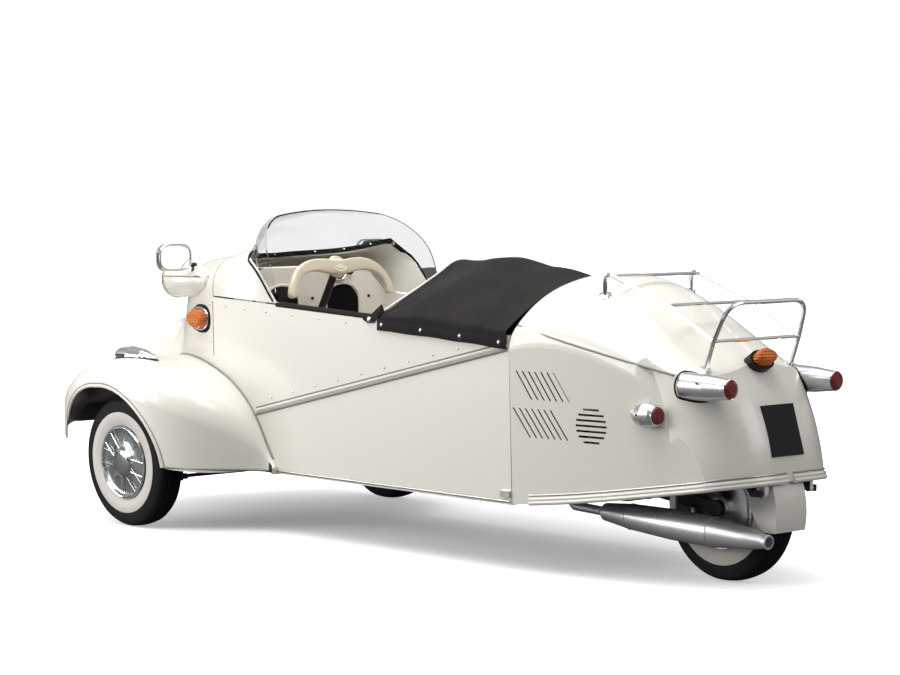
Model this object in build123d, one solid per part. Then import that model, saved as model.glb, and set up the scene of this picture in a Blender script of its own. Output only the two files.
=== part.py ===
from build123d import *
from math import atan2, cos, degrees, hypot, radians, sin, sqrt
import os

# Small three wheeled car with two front wheels, one rear wheel and two seats in line.
# Millimetres. The car faces -Y, its left side is +X and the ground is z = 0.
# The origin lies on the ground, in the middle of the overall length and width.
os.makedirs("parts", exist_ok=True)

# Overall sizes and places
HALF_LENGTH = 1400.0
HALF_WIDTH = 610.0
FRONT_AXLE_Y = -846.0
REAR_AXLE_Y = 1162.0
NOSE_SEAM_Y = -705.0
TAIL_SEAM_Y = 632.0
FLOOR_Z = 183.0
RIM_FRONT_Z = 712.0
RIM_REAR_Z = 655.0

# Sheet thicknesses and gaps
WALL = 14.0
NOSE_WALL = 8.0
TAIL_WALL = 6.0
COWL_WALL = 8.0
FENDER_WALL = 5.0
SEAT_GAP = 0.3
LID_GAP = 5.0
PIN_GAP = 0.1
OVERRUN = 20.0
SHEET_CUT = 2000.0


# Shared helpers


def save(name, shape):
    """Write one sub-part to its own file."""
    export_step(shape, f"parts/{name}.step")


def mirrored(shape):
    """The same piece on the car's right side."""
    return mirror(shape, about=Plane.YZ)


def fuse(*pieces):
    """Join touching pieces into one solid."""
    body = pieces[0]
    for piece in pieces[1:]:
        body = body + piece
    return body


def rod(start, end, radius):
    """Round bar between two points."""
    line = Vector(*end) - Vector(*start)
    base = Plane(origin=start, z_dir=line)
    return extrude(base * Circle(radius), amount=line.length)


def block(x0, x1, y0, y1, z0, z1):
    """Box between two corners."""
    size = Box(x1 - x0, y1 - y0, z1 - z0)
    return Pos((x0 + x1) / 2, (y0 + y1) / 2, (z0 + z1) / 2) * size


def side_prism(points, half):
    """Outline in the side view, pulled through the car's width from -half to half."""
    outline = make_face(Polyline(*points, close=True))
    return extrude(Plane.YZ * outline, amount=half, both=True)


def turned(profile, centre):
    """Solid turned about a lengthwise axis; the profile lists (y, radius) pairs."""
    x, y, z = centre
    outline = make_face(Polyline(*profile, (profile[-1][0], 0), (profile[0][0], 0), close=True))
    spun = revolve(outline, Axis.X)
    return Pos(x, y, z) * Rot(0, 0, 90) * spun


def bent_tube(points, radius, bend):
    """Round tube along straight runs joined by bends."""
    path = FilletPolyline(*points, radius=bend)
    start = Plane(origin=path @ 0, z_dir=path % 0)
    return sweep(start * Circle(radius), path=path)


# Body sections: a flat floor, straight sides, round shoulders and an arched top


def body_section(row, inset, open_floor=False):
    """Outline of the body at one section, moved in by a wall thickness."""
    y_low, y_high, z_low, z_high, half_low, half_high, drop, radius = row
    lean = atan2(y_low - y_high, z_high - z_low)
    height = hypot(y_low - y_high, z_high - z_low)
    floor = -OVERRUN if open_floor else inset
    low, high, crown = half_low - inset, half_high - inset, height - inset
    corner = max(radius - inset, inset)
    arch = (half_high**2 + drop**2) / (2 * drop) - inset
    arch_centre = crown - arch
    corner_x = high - corner
    corner_v = arch_centre + sqrt((arch - corner) ** 2 - corner_x**2)
    turn = atan2(corner_v - arch_centre, corner_x)
    shoulder_x, shoulder_v = corner_x + corner * cos(turn), corner_v + corner * sin(turn)
    middle_x, middle_v = corner_x + corner * cos(turn / 2), corner_v + corner * sin(turn / 2)

    def at(x, v):
        return (x, y_low - v * sin(lean), z_low + v * cos(lean))

    left, right = at(shoulder_x, shoulder_v), at(-shoulder_x, shoulder_v)
    edges = [
        Edge.make_line(at(-low, floor), at(low, floor)),
        Edge.make_line(at(low, floor), at(high, corner_v)),
        Edge.make_three_point_arc(at(high, corner_v), at(middle_x, middle_v), left),
        Edge.make_three_point_arc(left, at(0, crown), right),
        Edge.make_three_point_arc(right, at(-middle_x, middle_v), at(-high, corner_v)),
        Edge.make_line(at(-high, corner_v), at(-low, floor)),
    ]
    return Wire(edges)


def body_loft(rows, inset, open_floor=False):
    """Smooth body through a table of sections."""
    return Solid.make_loft([body_section(row, inset, open_floor) for row in rows])


# Columns: y at the floor, y at the top, floor z, top z, half width low, half width high,
# drop from the top to the shoulder, shoulder radius
FRONT_ROWS = [
    (-380.0, -380.0, FLOOR_Z, 884.0, 318.0, 332.0, 14.0, 92.0),
    (-600.0, -600.0, FLOOR_Z, 872.0, 318.0, 332.0, 14.0, 92.0),
    (NOSE_SEAM_Y, NOSE_SEAM_Y, FLOOR_Z, 844.0, 318.0, 331.0, 12.0, 95.0),
    (-905.0, -885.0, 184.0, 820.0, 298.0, 282.0, 18.0, 100.0),
    (-1150.0, -1000.0, 192.0, 738.0, 248.0, 186.0, 26.0, 90.0),
    (-1316.0, -1168.0, 212.0, 628.0, 186.0, 144.0, 24.0, 84.0),
    (-1391.0, -1383.0, 244.0, 404.0, 118.0, 98.0, 14.0, 60.0),
]
TUB_ROWS = [
    (NOSE_SEAM_Y, NOSE_SEAM_Y, FLOOR_Z, 844.0, 318.0, 331.0, 12.0, 95.0),
    (TAIL_SEAM_Y, TAIL_SEAM_Y, FLOOR_Z, 844.0, 318.0, 333.0, 12.0, 95.0),
]
DOME_ROWS = [
    (-862.0, -862.0, 780.0, 850.0, 62.0, 46.0, 12.0, 26.0),
    (-780.0, -780.0, 740.0, 904.0, 132.0, 108.0, 18.0, 60.0),
    (-700.0, -700.0, 700.0, 942.0, 196.0, 166.0, 24.0, 88.0),
    (-600.0, -600.0, 690.0, 974.0, 272.0, 244.0, 30.0, 105.0),
    (-500.0, -500.0, 680.0, 988.0, 329.0, 312.0, 40.0, 125.0),
    (-370.0, -370.0, 680.0, 990.0, 330.0, 328.0, 52.0, 140.0),
]
TAIL_ROWS = [
    (TAIL_SEAM_Y + LID_GAP, TAIL_SEAM_Y + LID_GAP, 186.0, 806.0, 319.0, 333.0, 158.0, 90.0),
    (850.0, 845.0, 208.0, 812.0, 293.0, 306.0, 160.0, 100.0),
    (1060.0, 1035.0, 238.0, 728.0, 264.0, 278.0, 130.0, 90.0),
    (1450.0, 1340.0, 300.0, 560.0, 206.0, 222.0, 50.0, 60.0),
]
# Plan outlines that round the tail's back. Columns: height, rear y, half width, corner radius
REAR_ROWS = [
    (100.0, 1380.0, 262.0, 190.0),
    (300.0, 1370.0, 258.0, 185.0),
    (480.0, 1322.0, 248.0, 175.0),
    (626.0, 1232.0, 244.0, 165.0),
    (860.0, 1010.0, 240.0, 150.0),
]


# Nose

SEAM_SIDE_X = 262.0
SEAM_BEND_X = 90.0
SEAM_BEND_Y = -880.0
SEAM_TIP_Y = -922.0
KINGPIN_X = 410.0
AXLE_Z = 203.0
COLUMN_TOP = (0.0, -505.0, 790.0)
COLUMN_FOOT = (0.0, -857.0, 165.0)
COLUMN_RADIUS = 12.0
COLUMN_SPARE = 8.0
ARM_RADIUS = 20.0
ARM_HEIGHT = 226.0


def front_shell(wall):
    """Nose and cowl as one sheet, before the seam parts them."""
    tip = FRONT_ROWS[-1]
    inner_tip = (tip[0] + wall, tip[1] + wall) + tip[2:]
    return body_loft(FRONT_ROWS, 0) - body_loft(FRONT_ROWS[:-1] + [inner_tip], wall)


def seam_plan(shift, low):
    """Everything behind the seam between nose and cowl, seen from above."""
    with BuildSketch(Plane.XY.offset(low)) as plan:
        with BuildLine():
            Line((-HALF_WIDTH, 0), (-HALF_WIDTH, NOSE_SEAM_Y + shift))
            Line((-HALF_WIDTH, NOSE_SEAM_Y + shift), (-SEAM_SIDE_X, NOSE_SEAM_Y + shift))
            Line((-SEAM_SIDE_X, NOSE_SEAM_Y + shift), (-SEAM_BEND_X, SEAM_BEND_Y + shift))
            ThreePointArc(
                (-SEAM_BEND_X, SEAM_BEND_Y + shift),
                (0, SEAM_TIP_Y + shift),
                (SEAM_BEND_X, SEAM_BEND_Y + shift),
            )
            Line((SEAM_BEND_X, SEAM_BEND_Y + shift), (SEAM_SIDE_X, NOSE_SEAM_Y + shift))
            Line((SEAM_SIDE_X, NOSE_SEAM_Y + shift), (HALF_WIDTH, NOSE_SEAM_Y + shift))
            Line((HALF_WIDTH, NOSE_SEAM_Y + shift), (HALF_WIDTH, 0))
            Line((HALF_WIDTH, 0), (-HALF_WIDTH, 0))
        make_face()
    return extrude(plan.sketch, amount=SHEET_CUT)


def nose_shell():
    """Nose in one sheet, open towards the cabin, with holes for the column and the front arms."""
    shell = front_shell(NOSE_WALL)
    shell = shell & block(-HALF_WIDTH, HALF_WIDTH, -SHEET_CUT, NOSE_SEAM_Y, 0, SHEET_CUT)
    shell = shell - seam_plan(0, RIM_FRONT_Z)
    shell = shell - rod(COLUMN_TOP, COLUMN_FOOT, COLUMN_RADIUS + COLUMN_SPARE)
    start = (-HALF_WIDTH, FRONT_AXLE_Y, ARM_HEIGHT)
    end = (HALF_WIDTH, FRONT_AXLE_Y, ARM_HEIGHT)
    return shell - rod(start, end, ARM_RADIUS + SEAT_GAP)


# Cabin tub: a lower hull and two upper side panels, split along the slanted moulding

SPLIT_FRONT_Y = -505.0
SPLIT_FRONT_Z = 368.0
SPLIT_REAR_Z = 627.0


def split_height(y):
    """Height of the slanted joint at a place along the car."""
    slope = (SPLIT_REAR_Z - SPLIT_FRONT_Z) / (TAIL_SEAM_Y - SPLIT_FRONT_Y)
    return SPLIT_FRONT_Z + slope * (y - SPLIT_FRONT_Y)


def rim_height(y):
    """Height of the cockpit rim at a place along the car."""
    slope = (RIM_REAR_Z - RIM_FRONT_Z) / (TAIL_SEAM_Y - NOSE_SEAM_Y)
    return RIM_FRONT_Z + slope * (y - NOSE_SEAM_Y)


def over_line(height, lift):
    """Everything above a slanted line that runs the length of the tub."""
    start, end = -HALF_LENGTH, TAIL_SEAM_Y + OVERRUN
    corners = [(start, height(start) + lift), (end, height(end) + lift), (end, SHEET_CUT), (start, SHEET_CUT)]
    return side_prism(corners, SHEET_CUT)


def tub_shell():
    """The whole tub before it is split: floor and two sides."""
    shell = body_loft(TUB_ROWS, 0) - body_loft(TUB_ROWS, WALL) - over_line(rim_height, 0)
    return shell & block(-HALF_WIDTH, HALF_WIDTH, NOSE_SEAM_Y + SEAT_GAP, TAIL_SEAM_Y, 0, SHEET_CUT)


BULKHEAD_Y = 590.0
BULKHEAD_THICKNESS = 12.0
BULKHEAD_TOP_Z = 420.0


def lower_hull():
    """Floor and lower sides, with the low bulkhead ahead of the engine."""
    shell = tub_shell() - over_line(split_height, 0)
    wall = block(-HALF_WIDTH, HALF_WIDTH, BULKHEAD_Y, BULKHEAD_Y + BULKHEAD_THICKNESS, 0, BULKHEAD_TOP_Z)
    return shell + (wall & body_loft(TUB_ROWS, WALL / 2))


def side_panel():
    """Left upper side panel."""
    shell = tub_shell() & over_line(split_height, SEAT_GAP)
    return shell & block(0, HALF_WIDTH, -HALF_LENGTH, HALF_LENGTH, 0, SHEET_CUT)


# Cowl and windscreen, one lid hinged on the right side

SCREEN_WALL = 4.0
SCREEN_SEAT = 6.0
CUT_START_Y = -548.0
CUT_START_Z = 846.0
CUT_MIDDLE_Y = -490.0
CUT_MIDDLE_Z = 808.0
CUT_END_Y = -400.0
CUT_END_Z = 708.0
SCREEN_FOOT_Y = -384.0
SCREEN_BEND_Y = -424.0
SCREEN_BEND_Z = 838.0
SCREEN_TOP_Y = -556.0
SCREEN_TOP_Z = 986.0
COWL_HINGE_X = -344.0
COWL_HINGE_Z = 704.0
COWL_HINGE_YS = (-650.0, -470.0)
HINGE_PIN_RADIUS = 4.0
HINGE_EYE_RADIUS = 8.0
HINGE_EYE_LENGTH = 24.0
HINGE_LEAF_X = -338.0
HINGE_ROOT_X = -326.0
HINGE_OUTER_X = -351.0
LEAF_ROOT_Z = 719.0
LEAF_TOP_Z = 734.0
LUG_FOOT_Z = 668.0
LUG_STEP_Z = 692.0
LUG_TOP_Z = 709.0


def dome_solid(inset=0.0):
    """The bubble that the windscreen and the cowl's opening follow."""
    return body_loft(DOME_ROWS, inset)


def falling_edge(lift, above):
    """Side view region above, or below, the cowl's falling rear edge."""
    far = SHEET_CUT if above else 0
    outline = [
        (CUT_START_Y, far),
        (CUT_START_Y, CUT_START_Z + lift),
        (CUT_MIDDLE_Y, CUT_MIDDLE_Z + lift),
        (CUT_END_Y, CUT_END_Z + lift),
        (0, CUT_END_Z + lift),
        (0, far),
    ]
    return side_prism(outline, HALF_WIDTH)


def hinge_eye(y):
    """Eye of the cowl's hinge, with the leaf that joins it to the sheet above the rim."""
    start, end = y - HINGE_EYE_LENGTH / 2, y + HINGE_EYE_LENGTH / 2
    eye = rod((COWL_HINGE_X, start, COWL_HINGE_Z), (COWL_HINGE_X, end, COWL_HINGE_Z), HINGE_EYE_RADIUS)
    leaf = block(HINGE_OUTER_X, HINGE_LEAF_X, start, end, COWL_HINGE_Z, LEAF_TOP_Z)
    root = block(HINGE_OUTER_X, HINGE_ROOT_X, start, end, LEAF_ROOT_Z, LEAF_TOP_Z)
    bore_start = (COWL_HINGE_X, start - OVERRUN, COWL_HINGE_Z)
    bore_end = (COWL_HINGE_X, end + OVERRUN, COWL_HINGE_Z)
    return fuse(eye, leaf, root) - rod(bore_start, bore_end, HINGE_PIN_RADIUS + PIN_GAP)


def hinge_lug(y):
    """Lug on the right side panel that holds one pin of the cowl's hinge."""
    start, end = y + HINGE_EYE_LENGTH / 2 + SEAT_GAP, y + 3 * HINGE_EYE_LENGTH / 2
    pin_start = (COWL_HINGE_X, y - HINGE_EYE_LENGTH / 2, COWL_HINGE_Z)
    pin = rod(pin_start, (COWL_HINGE_X, end, COWL_HINGE_Z), HINGE_PIN_RADIUS)
    foot = block(HINGE_OUTER_X, HINGE_ROOT_X, start, end, LUG_FOOT_Z, LUG_STEP_Z)
    post = block(HINGE_OUTER_X, HINGE_LEAF_X, start, end, LUG_FOOT_Z, LUG_TOP_Z)
    return fuse(pin, foot, post)


def side_panel_right():
    """Right upper side panel with the two lugs of the cowl's hinge."""
    return fuse(mirrored(side_panel()), *[hinge_lug(y) for y in COWL_HINGE_YS])


def cowl():
    """Painted sheet round the foot of the windscreen, with its two hinge eyes."""
    shell = front_shell(COWL_WALL) & seam_plan(LID_GAP, RIM_REAR_Z)
    shell = shell & over_line(rim_height, LID_GAP)
    ahead = block(-HALF_WIDTH, HALF_WIDTH, -HALF_LENGTH, CUT_START_Y, 0, SHEET_CUT)
    shell = shell - falling_edge(0, True) - (dome_solid() & ahead)
    return fuse(shell, *[hinge_eye(y) for y in COWL_HINGE_YS])


def windscreen():
    """Clear bubble standing in the cowl's opening, cut back in a curve at its free edge."""
    shell = dome_solid(SEAT_GAP) - dome_solid(SEAT_GAP + SCREEN_WALL)
    seat = body_loft(FRONT_ROWS, SCREEN_SEAT)
    ahead = block(-HALF_WIDTH, HALF_WIDTH, -HALF_LENGTH, CUT_START_Y, 0, SHEET_CUT)
    shell = shell - (seat & ahead) - falling_edge(SEAT_GAP, False)
    shell = shell - block(-HALF_WIDTH, HALF_WIDTH, -HALF_LENGTH, CUT_START_Y, 0, CUT_MIDDLE_Z)
    with BuildSketch(Plane.YZ) as free_edge:
        with BuildLine():
            foot, top = (SCREEN_FOOT_Y, CUT_END_Z), (SCREEN_TOP_Y, SCREEN_TOP_Z)
            ThreePointArc(foot, (SCREEN_BEND_Y, SCREEN_BEND_Z), top)
            Polyline(top, (SCREEN_TOP_Y, SHEET_CUT), (0, SHEET_CUT), (0, CUT_END_Z), foot)
        make_face()
    return shell - extrude(free_edge.sketch, amount=HALF_WIDTH, both=True)


# Tail, one lid hinged low at the back

TAIL_HINGE_Y = 1360.0
TAIL_HINGE_Z = 262.0
TAIL_PIN_RADIUS = 5.0
TAIL_EYE_RADIUS = 9.0
TAIL_EYE_XS = (84.0, 98.0)
TAIL_EAR_Z = 330.0
SLOT_COUNT = 7
SLOT_PITCH = 21.5
SLOT_WIDTH = 5.0
# Columns: first slot's top y, top z, slant along y, height
SLOT_ROWS = [
    (658.0, 560.0, 53.0, 78.0),
    (645.0, 457.0, 58.0, 80.0),
]
GRILLE_Y = 915.0
GRILLE_Z = 421.0
GRILLE_RADIUS = 52.0
GRILLE_BARS = 7
GRILLE_GAP = 6.0


def rear_section(row, inset):
    """One plan outline of the tail's back, moved in by a wall thickness."""
    z, rear, half, corner = row
    rear, half, corner = rear - inset, half - inset, corner - inset
    front = TAIL_SEAM_Y - OVERRUN
    wide = HALF_WIDTH - inset
    middle_x = half - corner + corner * cos(radians(45))
    middle_y = rear - corner + corner * sin(radians(45))
    left, right = (half, rear - corner, z), (-half, rear - corner, z)
    back_left, back_right = (half - corner, rear, z), (corner - half, rear, z)
    edges = [
        Edge.make_line((-wide, front, z), (wide, front, z)),
        Edge.make_line((wide, front, z), left),
        Edge.make_three_point_arc(left, (middle_x, middle_y, z), back_left),
        Edge.make_line(back_left, back_right),
        Edge.make_three_point_arc(back_right, (-middle_x, middle_y, z), right),
        Edge.make_line(right, (-wide, front, z)),
    ]
    return Wire(edges)


def tail_solid(inset, open_floor=False):
    """Tail body, its back rounded in plan."""
    body = body_loft(TAIL_ROWS, inset, open_floor)
    return body & Solid.make_loft([rear_section(row, inset) for row in REAR_ROWS])


def slot_cutters():
    """Slanted cooling slots, as bars that cross the whole tail."""
    cutters = []
    for top_y, top_z, slant, height in SLOT_ROWS:
        for index in range(SLOT_COUNT):
            y = top_y + index * SLOT_PITCH
            corners = [
                (y, top_z),
                (y + SLOT_WIDTH, top_z),
                (y + slant + SLOT_WIDTH, top_z - height),
                (y + slant, top_z - height),
            ]
            cutters.append(side_prism(corners, HALF_WIDTH))
    return cutters


def grille_cutters():
    """Horizontal openings of the round grille."""
    cutters = []
    pitch = 2 * GRILLE_RADIUS / GRILLE_BARS
    for index in range(GRILLE_BARS):
        z = GRILLE_Z - GRILLE_RADIUS + (index + 0.5) * pitch
        reach = sqrt(GRILLE_RADIUS**2 - (z - GRILLE_Z) ** 2)
        low, high = z - GRILLE_GAP / 2, z + GRILLE_GAP / 2
        cutters.append(block(-HALF_WIDTH, HALF_WIDTH, GRILLE_Y - reach, GRILLE_Y + reach, low, high))
    return cutters


def tail_ear():
    """Ear inside the tail's back that turns on the frame's pin, left side."""
    start, end = TAIL_EYE_XS
    eye = rod((start, TAIL_HINGE_Y, TAIL_HINGE_Z), (end, TAIL_HINGE_Y, TAIL_HINGE_Z), TAIL_EYE_RADIUS)
    reach = TAIL_HINGE_Y + TAIL_EYE_RADIUS + TAIL_WALL
    arm = block(start, end, TAIL_HINGE_Y - TAIL_EYE_RADIUS, reach, TAIL_HINGE_Z, TAIL_EAR_Z)
    bore_start = (start - OVERRUN, TAIL_HINGE_Y, TAIL_HINGE_Z)
    bore_end = (end + OVERRUN, TAIL_HINGE_Y, TAIL_HINGE_Z)
    ear = fuse(eye, arm & fuse(tail_solid(TAIL_WALL / 2, open_floor=True)))
    return ear - rod(bore_start, bore_end, TAIL_PIN_RADIUS + PIN_GAP)


def tail_shell():
    """Tail in one sheet, open below and in front, with its slots, grilles and hinge ears."""
    shell = tail_solid(0) - tail_solid(TAIL_WALL, open_floor=True)
    for cutter in slot_cutters() + grille_cutters():
        shell = shell - cutter
    ear = tail_ear()
    return fuse(shell, ear, mirrored(ear))


# Front wheels, knuckles and steering

CAMBER = 3.0
TYRE_RADIUS = 203.0
CROWN_RADIUS = 120.0
CONTACT_X = 522.0
BEAD_HALF = 36.0
BEAD_RADIUS = 104.0
FLANGE_RADIUS = 115.0
SIDE_BULGE = (47.0, 152.0)
SHOULDER_LOW = (40.0, 192.0)
SHOULDER_HIGH = (30.0, 200.5)
SPINDLE_RADIUS = 12.0
SPINDLE_GAP = 0.05
SPINDLE_REACH = 26.0
HUB_BORE_END = 30.0
# Outline of a wheel. Columns: place along the axle, radius
WHEEL_OUTLINE = [
    (-39.0, FLANGE_RADIUS),
    (-36.3, FLANGE_RADIUS),
    (-36.3, 103.7),
    (36.3, 103.7),
    (36.3, FLANGE_RADIUS),
    (39.0, FLANGE_RADIUS),
    (39.0, 104.0),
    (34.0, 98.0),
    (32.0, 60.0),
    (37.0, 42.0),
    (47.0, 34.0),
    (52.0, 18.0),
    (52.0, 0.0),
    (HUB_BORE_END, 0.0),
    (HUB_BORE_END, SPINDLE_RADIUS + SPINDLE_GAP),
    (-30.0, SPINDLE_RADIUS + SPINDLE_GAP),
    (-30.0, 22.0),
    (26.0, 22.0),
    (27.0, 60.0),
    (29.0, 94.0),
    (24.0, 99.7),
    (-34.0, 99.7),
    (-39.0, 104.0),
]


def tyre():
    """Tyre about the X axis, wheel centre at the origin."""
    with BuildSketch(Plane.XY) as outline:
        with BuildLine():
            Line((-BEAD_HALF, BEAD_RADIUS), (BEAD_HALF, BEAD_RADIUS))
            Line((BEAD_HALF, BEAD_RADIUS), (BEAD_HALF, FLANGE_RADIUS + SEAT_GAP))
            ThreePointArc((BEAD_HALF, FLANGE_RADIUS + SEAT_GAP), SIDE_BULGE, SHOULDER_LOW)
            Line(SHOULDER_LOW, SHOULDER_HIGH)
            ThreePointArc(SHOULDER_HIGH, (0, TYRE_RADIUS), (-SHOULDER_HIGH[0], SHOULDER_HIGH[1]))
            Line((-SHOULDER_HIGH[0], SHOULDER_HIGH[1]), (-SHOULDER_LOW[0], SHOULDER_LOW[1]))
            ThreePointArc(
                (-SHOULDER_LOW[0], SHOULDER_LOW[1]),
                (-SIDE_BULGE[0], SIDE_BULGE[1]),
                (-BEAD_HALF, FLANGE_RADIUS + SEAT_GAP),
            )
            Line((-BEAD_HALF, FLANGE_RADIUS + SEAT_GAP), (-BEAD_HALF, BEAD_RADIUS))
        make_face()
    return revolve(outline.sketch, Axis.X)


def wheel():
    """Rim, dished disc and hub with a blind bore, about the X axis."""
    return revolve(make_face(Polyline(*WHEEL_OUTLINE, close=True)), Axis.X)


def front_place():
    """Where the left front wheel sits, leaning out at the top."""
    x = CONTACT_X + TYRE_RADIUS * sin(radians(CAMBER))
    z = (TYRE_RADIUS - CROWN_RADIUS) * cos(radians(CAMBER)) + CROWN_RADIUS
    return Pos(x, FRONT_AXLE_Y, z) * Rot(0, CAMBER, 0)


def rear_place():
    """Where the rear wheel sits, upright."""
    return Pos(0, REAR_AXLE_Y, TYRE_RADIUS)


KINGPIN_RADIUS = 10.0
KINGPIN_GAP = 0.05
KINGPIN_LOW_Z = 174.0
KINGPIN_HIGH_Z = 276.0
BOSS_RADIUS = 24.0
BOSS_LOW_Z = 203.0
BOSS_HIGH_Z = 249.0
ARM_INNER_X = 296.0
EAR_RADIUS = 18.0
LOWER_EAR_ZS = (180.0, 197.0)
UPPER_EAR_ZS = (255.0, 271.0)
WEB_XS = (440.0, 454.0)
WEB_HALF = 18.0
STEERING_ARM = 80.0
STEERING_ARM_HALF = 9.0
STUD_RADIUS = 6.0
STUD_LOW_Z = 138.0
ROD_Z = 152.0
ROD_RADIUS = 6.0
ROD_EYE_INNER = 16.0
ROD_EYE_OUTER = 21.0
ROD_EYE_HALF = 7.5


def suspension_arm():
    """Left front arm from inside the nose to the kingpin, with the pin in its boss."""
    arm = rod((ARM_INNER_X, FRONT_AXLE_Y, ARM_HEIGHT), (KINGPIN_X, FRONT_AXLE_Y, ARM_HEIGHT), ARM_RADIUS)
    boss = rod((KINGPIN_X, FRONT_AXLE_Y, BOSS_LOW_Z), (KINGPIN_X, FRONT_AXLE_Y, BOSS_HIGH_Z), BOSS_RADIUS)
    pin_low = (KINGPIN_X, FRONT_AXLE_Y, KINGPIN_LOW_Z)
    pin_high = (KINGPIN_X, FRONT_AXLE_Y, KINGPIN_HIGH_Z)
    return fuse(arm, boss, rod(pin_low, pin_high, KINGPIN_RADIUS))


def knuckle():
    """Left knuckle: two ears on the kingpin, spindle, and the steering arm with its stud."""
    pieces = []
    for low, high in (LOWER_EAR_ZS, UPPER_EAR_ZS):
        pieces.append(rod((KINGPIN_X, FRONT_AXLE_Y, low), (KINGPIN_X, FRONT_AXLE_Y, high), EAR_RADIUS))
        half = WEB_HALF
        pieces.append(block(KINGPIN_X, WEB_XS[1], FRONT_AXLE_Y - half, FRONT_AXLE_Y + half, low, high))
    low, high = LOWER_EAR_ZS[0], UPPER_EAR_ZS[1]
    web = block(*WEB_XS, FRONT_AXLE_Y - WEB_HALF, FRONT_AXLE_Y + WEB_HALF, low, high)
    start = sum(WEB_XS) / 2 - front_place().position.X
    spindle = front_place() * rod((start, 0, 0), (SPINDLE_REACH, 0, 0), SPINDLE_RADIUS)
    inner, outer = KINGPIN_X - STEERING_ARM_HALF, KINGPIN_X + STEERING_ARM_HALF
    stud_y = FRONT_AXLE_Y + STEERING_ARM
    arm = block(inner, outer, FRONT_AXLE_Y, stud_y, *LOWER_EAR_ZS)
    end = rod((KINGPIN_X, stud_y, LOWER_EAR_ZS[0]), (KINGPIN_X, stud_y, LOWER_EAR_ZS[1]), STEERING_ARM_HALF)
    stud = rod((KINGPIN_X, stud_y, LOWER_EAR_ZS[1]), (KINGPIN_X, stud_y, STUD_LOW_Z), STUD_RADIUS)
    body = fuse(web, *pieces, spindle, arm, end, stud)
    bore_low = (KINGPIN_X, FRONT_AXLE_Y, LOWER_EAR_ZS[0] - OVERRUN)
    bore_high = (KINGPIN_X, FRONT_AXLE_Y, UPPER_EAR_ZS[1] + OVERRUN)
    return body - rod(bore_low, bore_high, KINGPIN_RADIUS + KINGPIN_GAP)


def track_rod():
    """Rod across the car with an eye round each knuckle's stud and the drop arm's stud."""
    y = FRONT_AXLE_Y + STEERING_ARM
    places = (-KINGPIN_X, 0, KINGPIN_X)
    body = rod((-KINGPIN_X, y, ROD_Z), (KINGPIN_X, y, ROD_Z), ROD_RADIUS)
    for x in places:
        body = body + rod((x, y, ROD_Z - ROD_EYE_HALF), (x, y, ROD_Z + ROD_EYE_HALF), ROD_EYE_OUTER)
    for x in places:
        body = body - rod((x, y, ROD_Z - OVERRUN), (x, y, ROD_Z + OVERRUN), ROD_EYE_INNER)
    return body


DROP_ARM_HALF = 9.0
DROP_ARM_ZS = (164.0, 172.0)
HUB_RADIUS = 30.0
HUB_HALF = 14.0
BAR_RADIUS = 11.0
GRIP_RADIUS = 15.0
GRIP_START_SHARE = 0.4
BAR_BEND = 26.0
# Left half of the bar. Columns: x, y, z
BAR_POINTS = [
    (0.0, -505.0, 792.0),
    (120.0, -498.0, 800.0),
    (190.0, -490.0, 762.0),
    (198.0, -478.0, 700.0),
]


def steering_column():
    """Column down to the drop arm under the floor, with the arm's stud in the track rod."""
    y = FRONT_AXLE_Y + STEERING_ARM
    column = rod(COLUMN_TOP, COLUMN_FOOT, COLUMN_RADIUS)
    arm = block(-DROP_ARM_HALF, DROP_ARM_HALF, COLUMN_FOOT[1], y, *DROP_ARM_ZS)
    stud = rod((0, y, DROP_ARM_ZS[1]), (0, y, STUD_LOW_Z), STUD_RADIUS)
    return fuse(column, arm, stud)


def handlebar():
    """Hub and yoke shaped bar with its two grips."""
    direction = Vector(*COLUMN_TOP) - Vector(*COLUMN_FOOT)
    direction = direction.normalized()
    seat = Vector(*COLUMN_TOP) + direction * SEAT_GAP
    top = seat + direction * 2 * HUB_HALF
    hub = rod(tuple(seat), tuple(top), HUB_RADIUS)
    lift = direction * HUB_HALF
    points = [tuple(Vector(*point) + lift) for point in BAR_POINTS]
    half = bent_tube(points, BAR_RADIUS, BAR_BEND)
    bend, end = Vector(*points[-2]), Vector(*points[-1])
    grip = rod(tuple(bend + (end - bend) * GRIP_START_SHARE), points[-1], GRIP_RADIUS)
    side = fuse(half, grip)
    return fuse(hub, side, mirrored(side))


# Cabin

DASH_Y = -619.0
DASH_THICKNESS = 6.0
# Left half of the dashboard panel. Columns: x, z
DASH_OUTLINE = [(330.0, 420.0), (330.0, 690.0), (240.0, 780.0), (190.0, 800.0)]
ARCH_X = 125.0
ARCH_HALF = 72.0
ARCH_SPRING_Z = 690.0
ARCH_TOP_Z = 745.0
SHELF_HALF = 190.0
SHELF_FRONT_Y = -690.0


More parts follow.
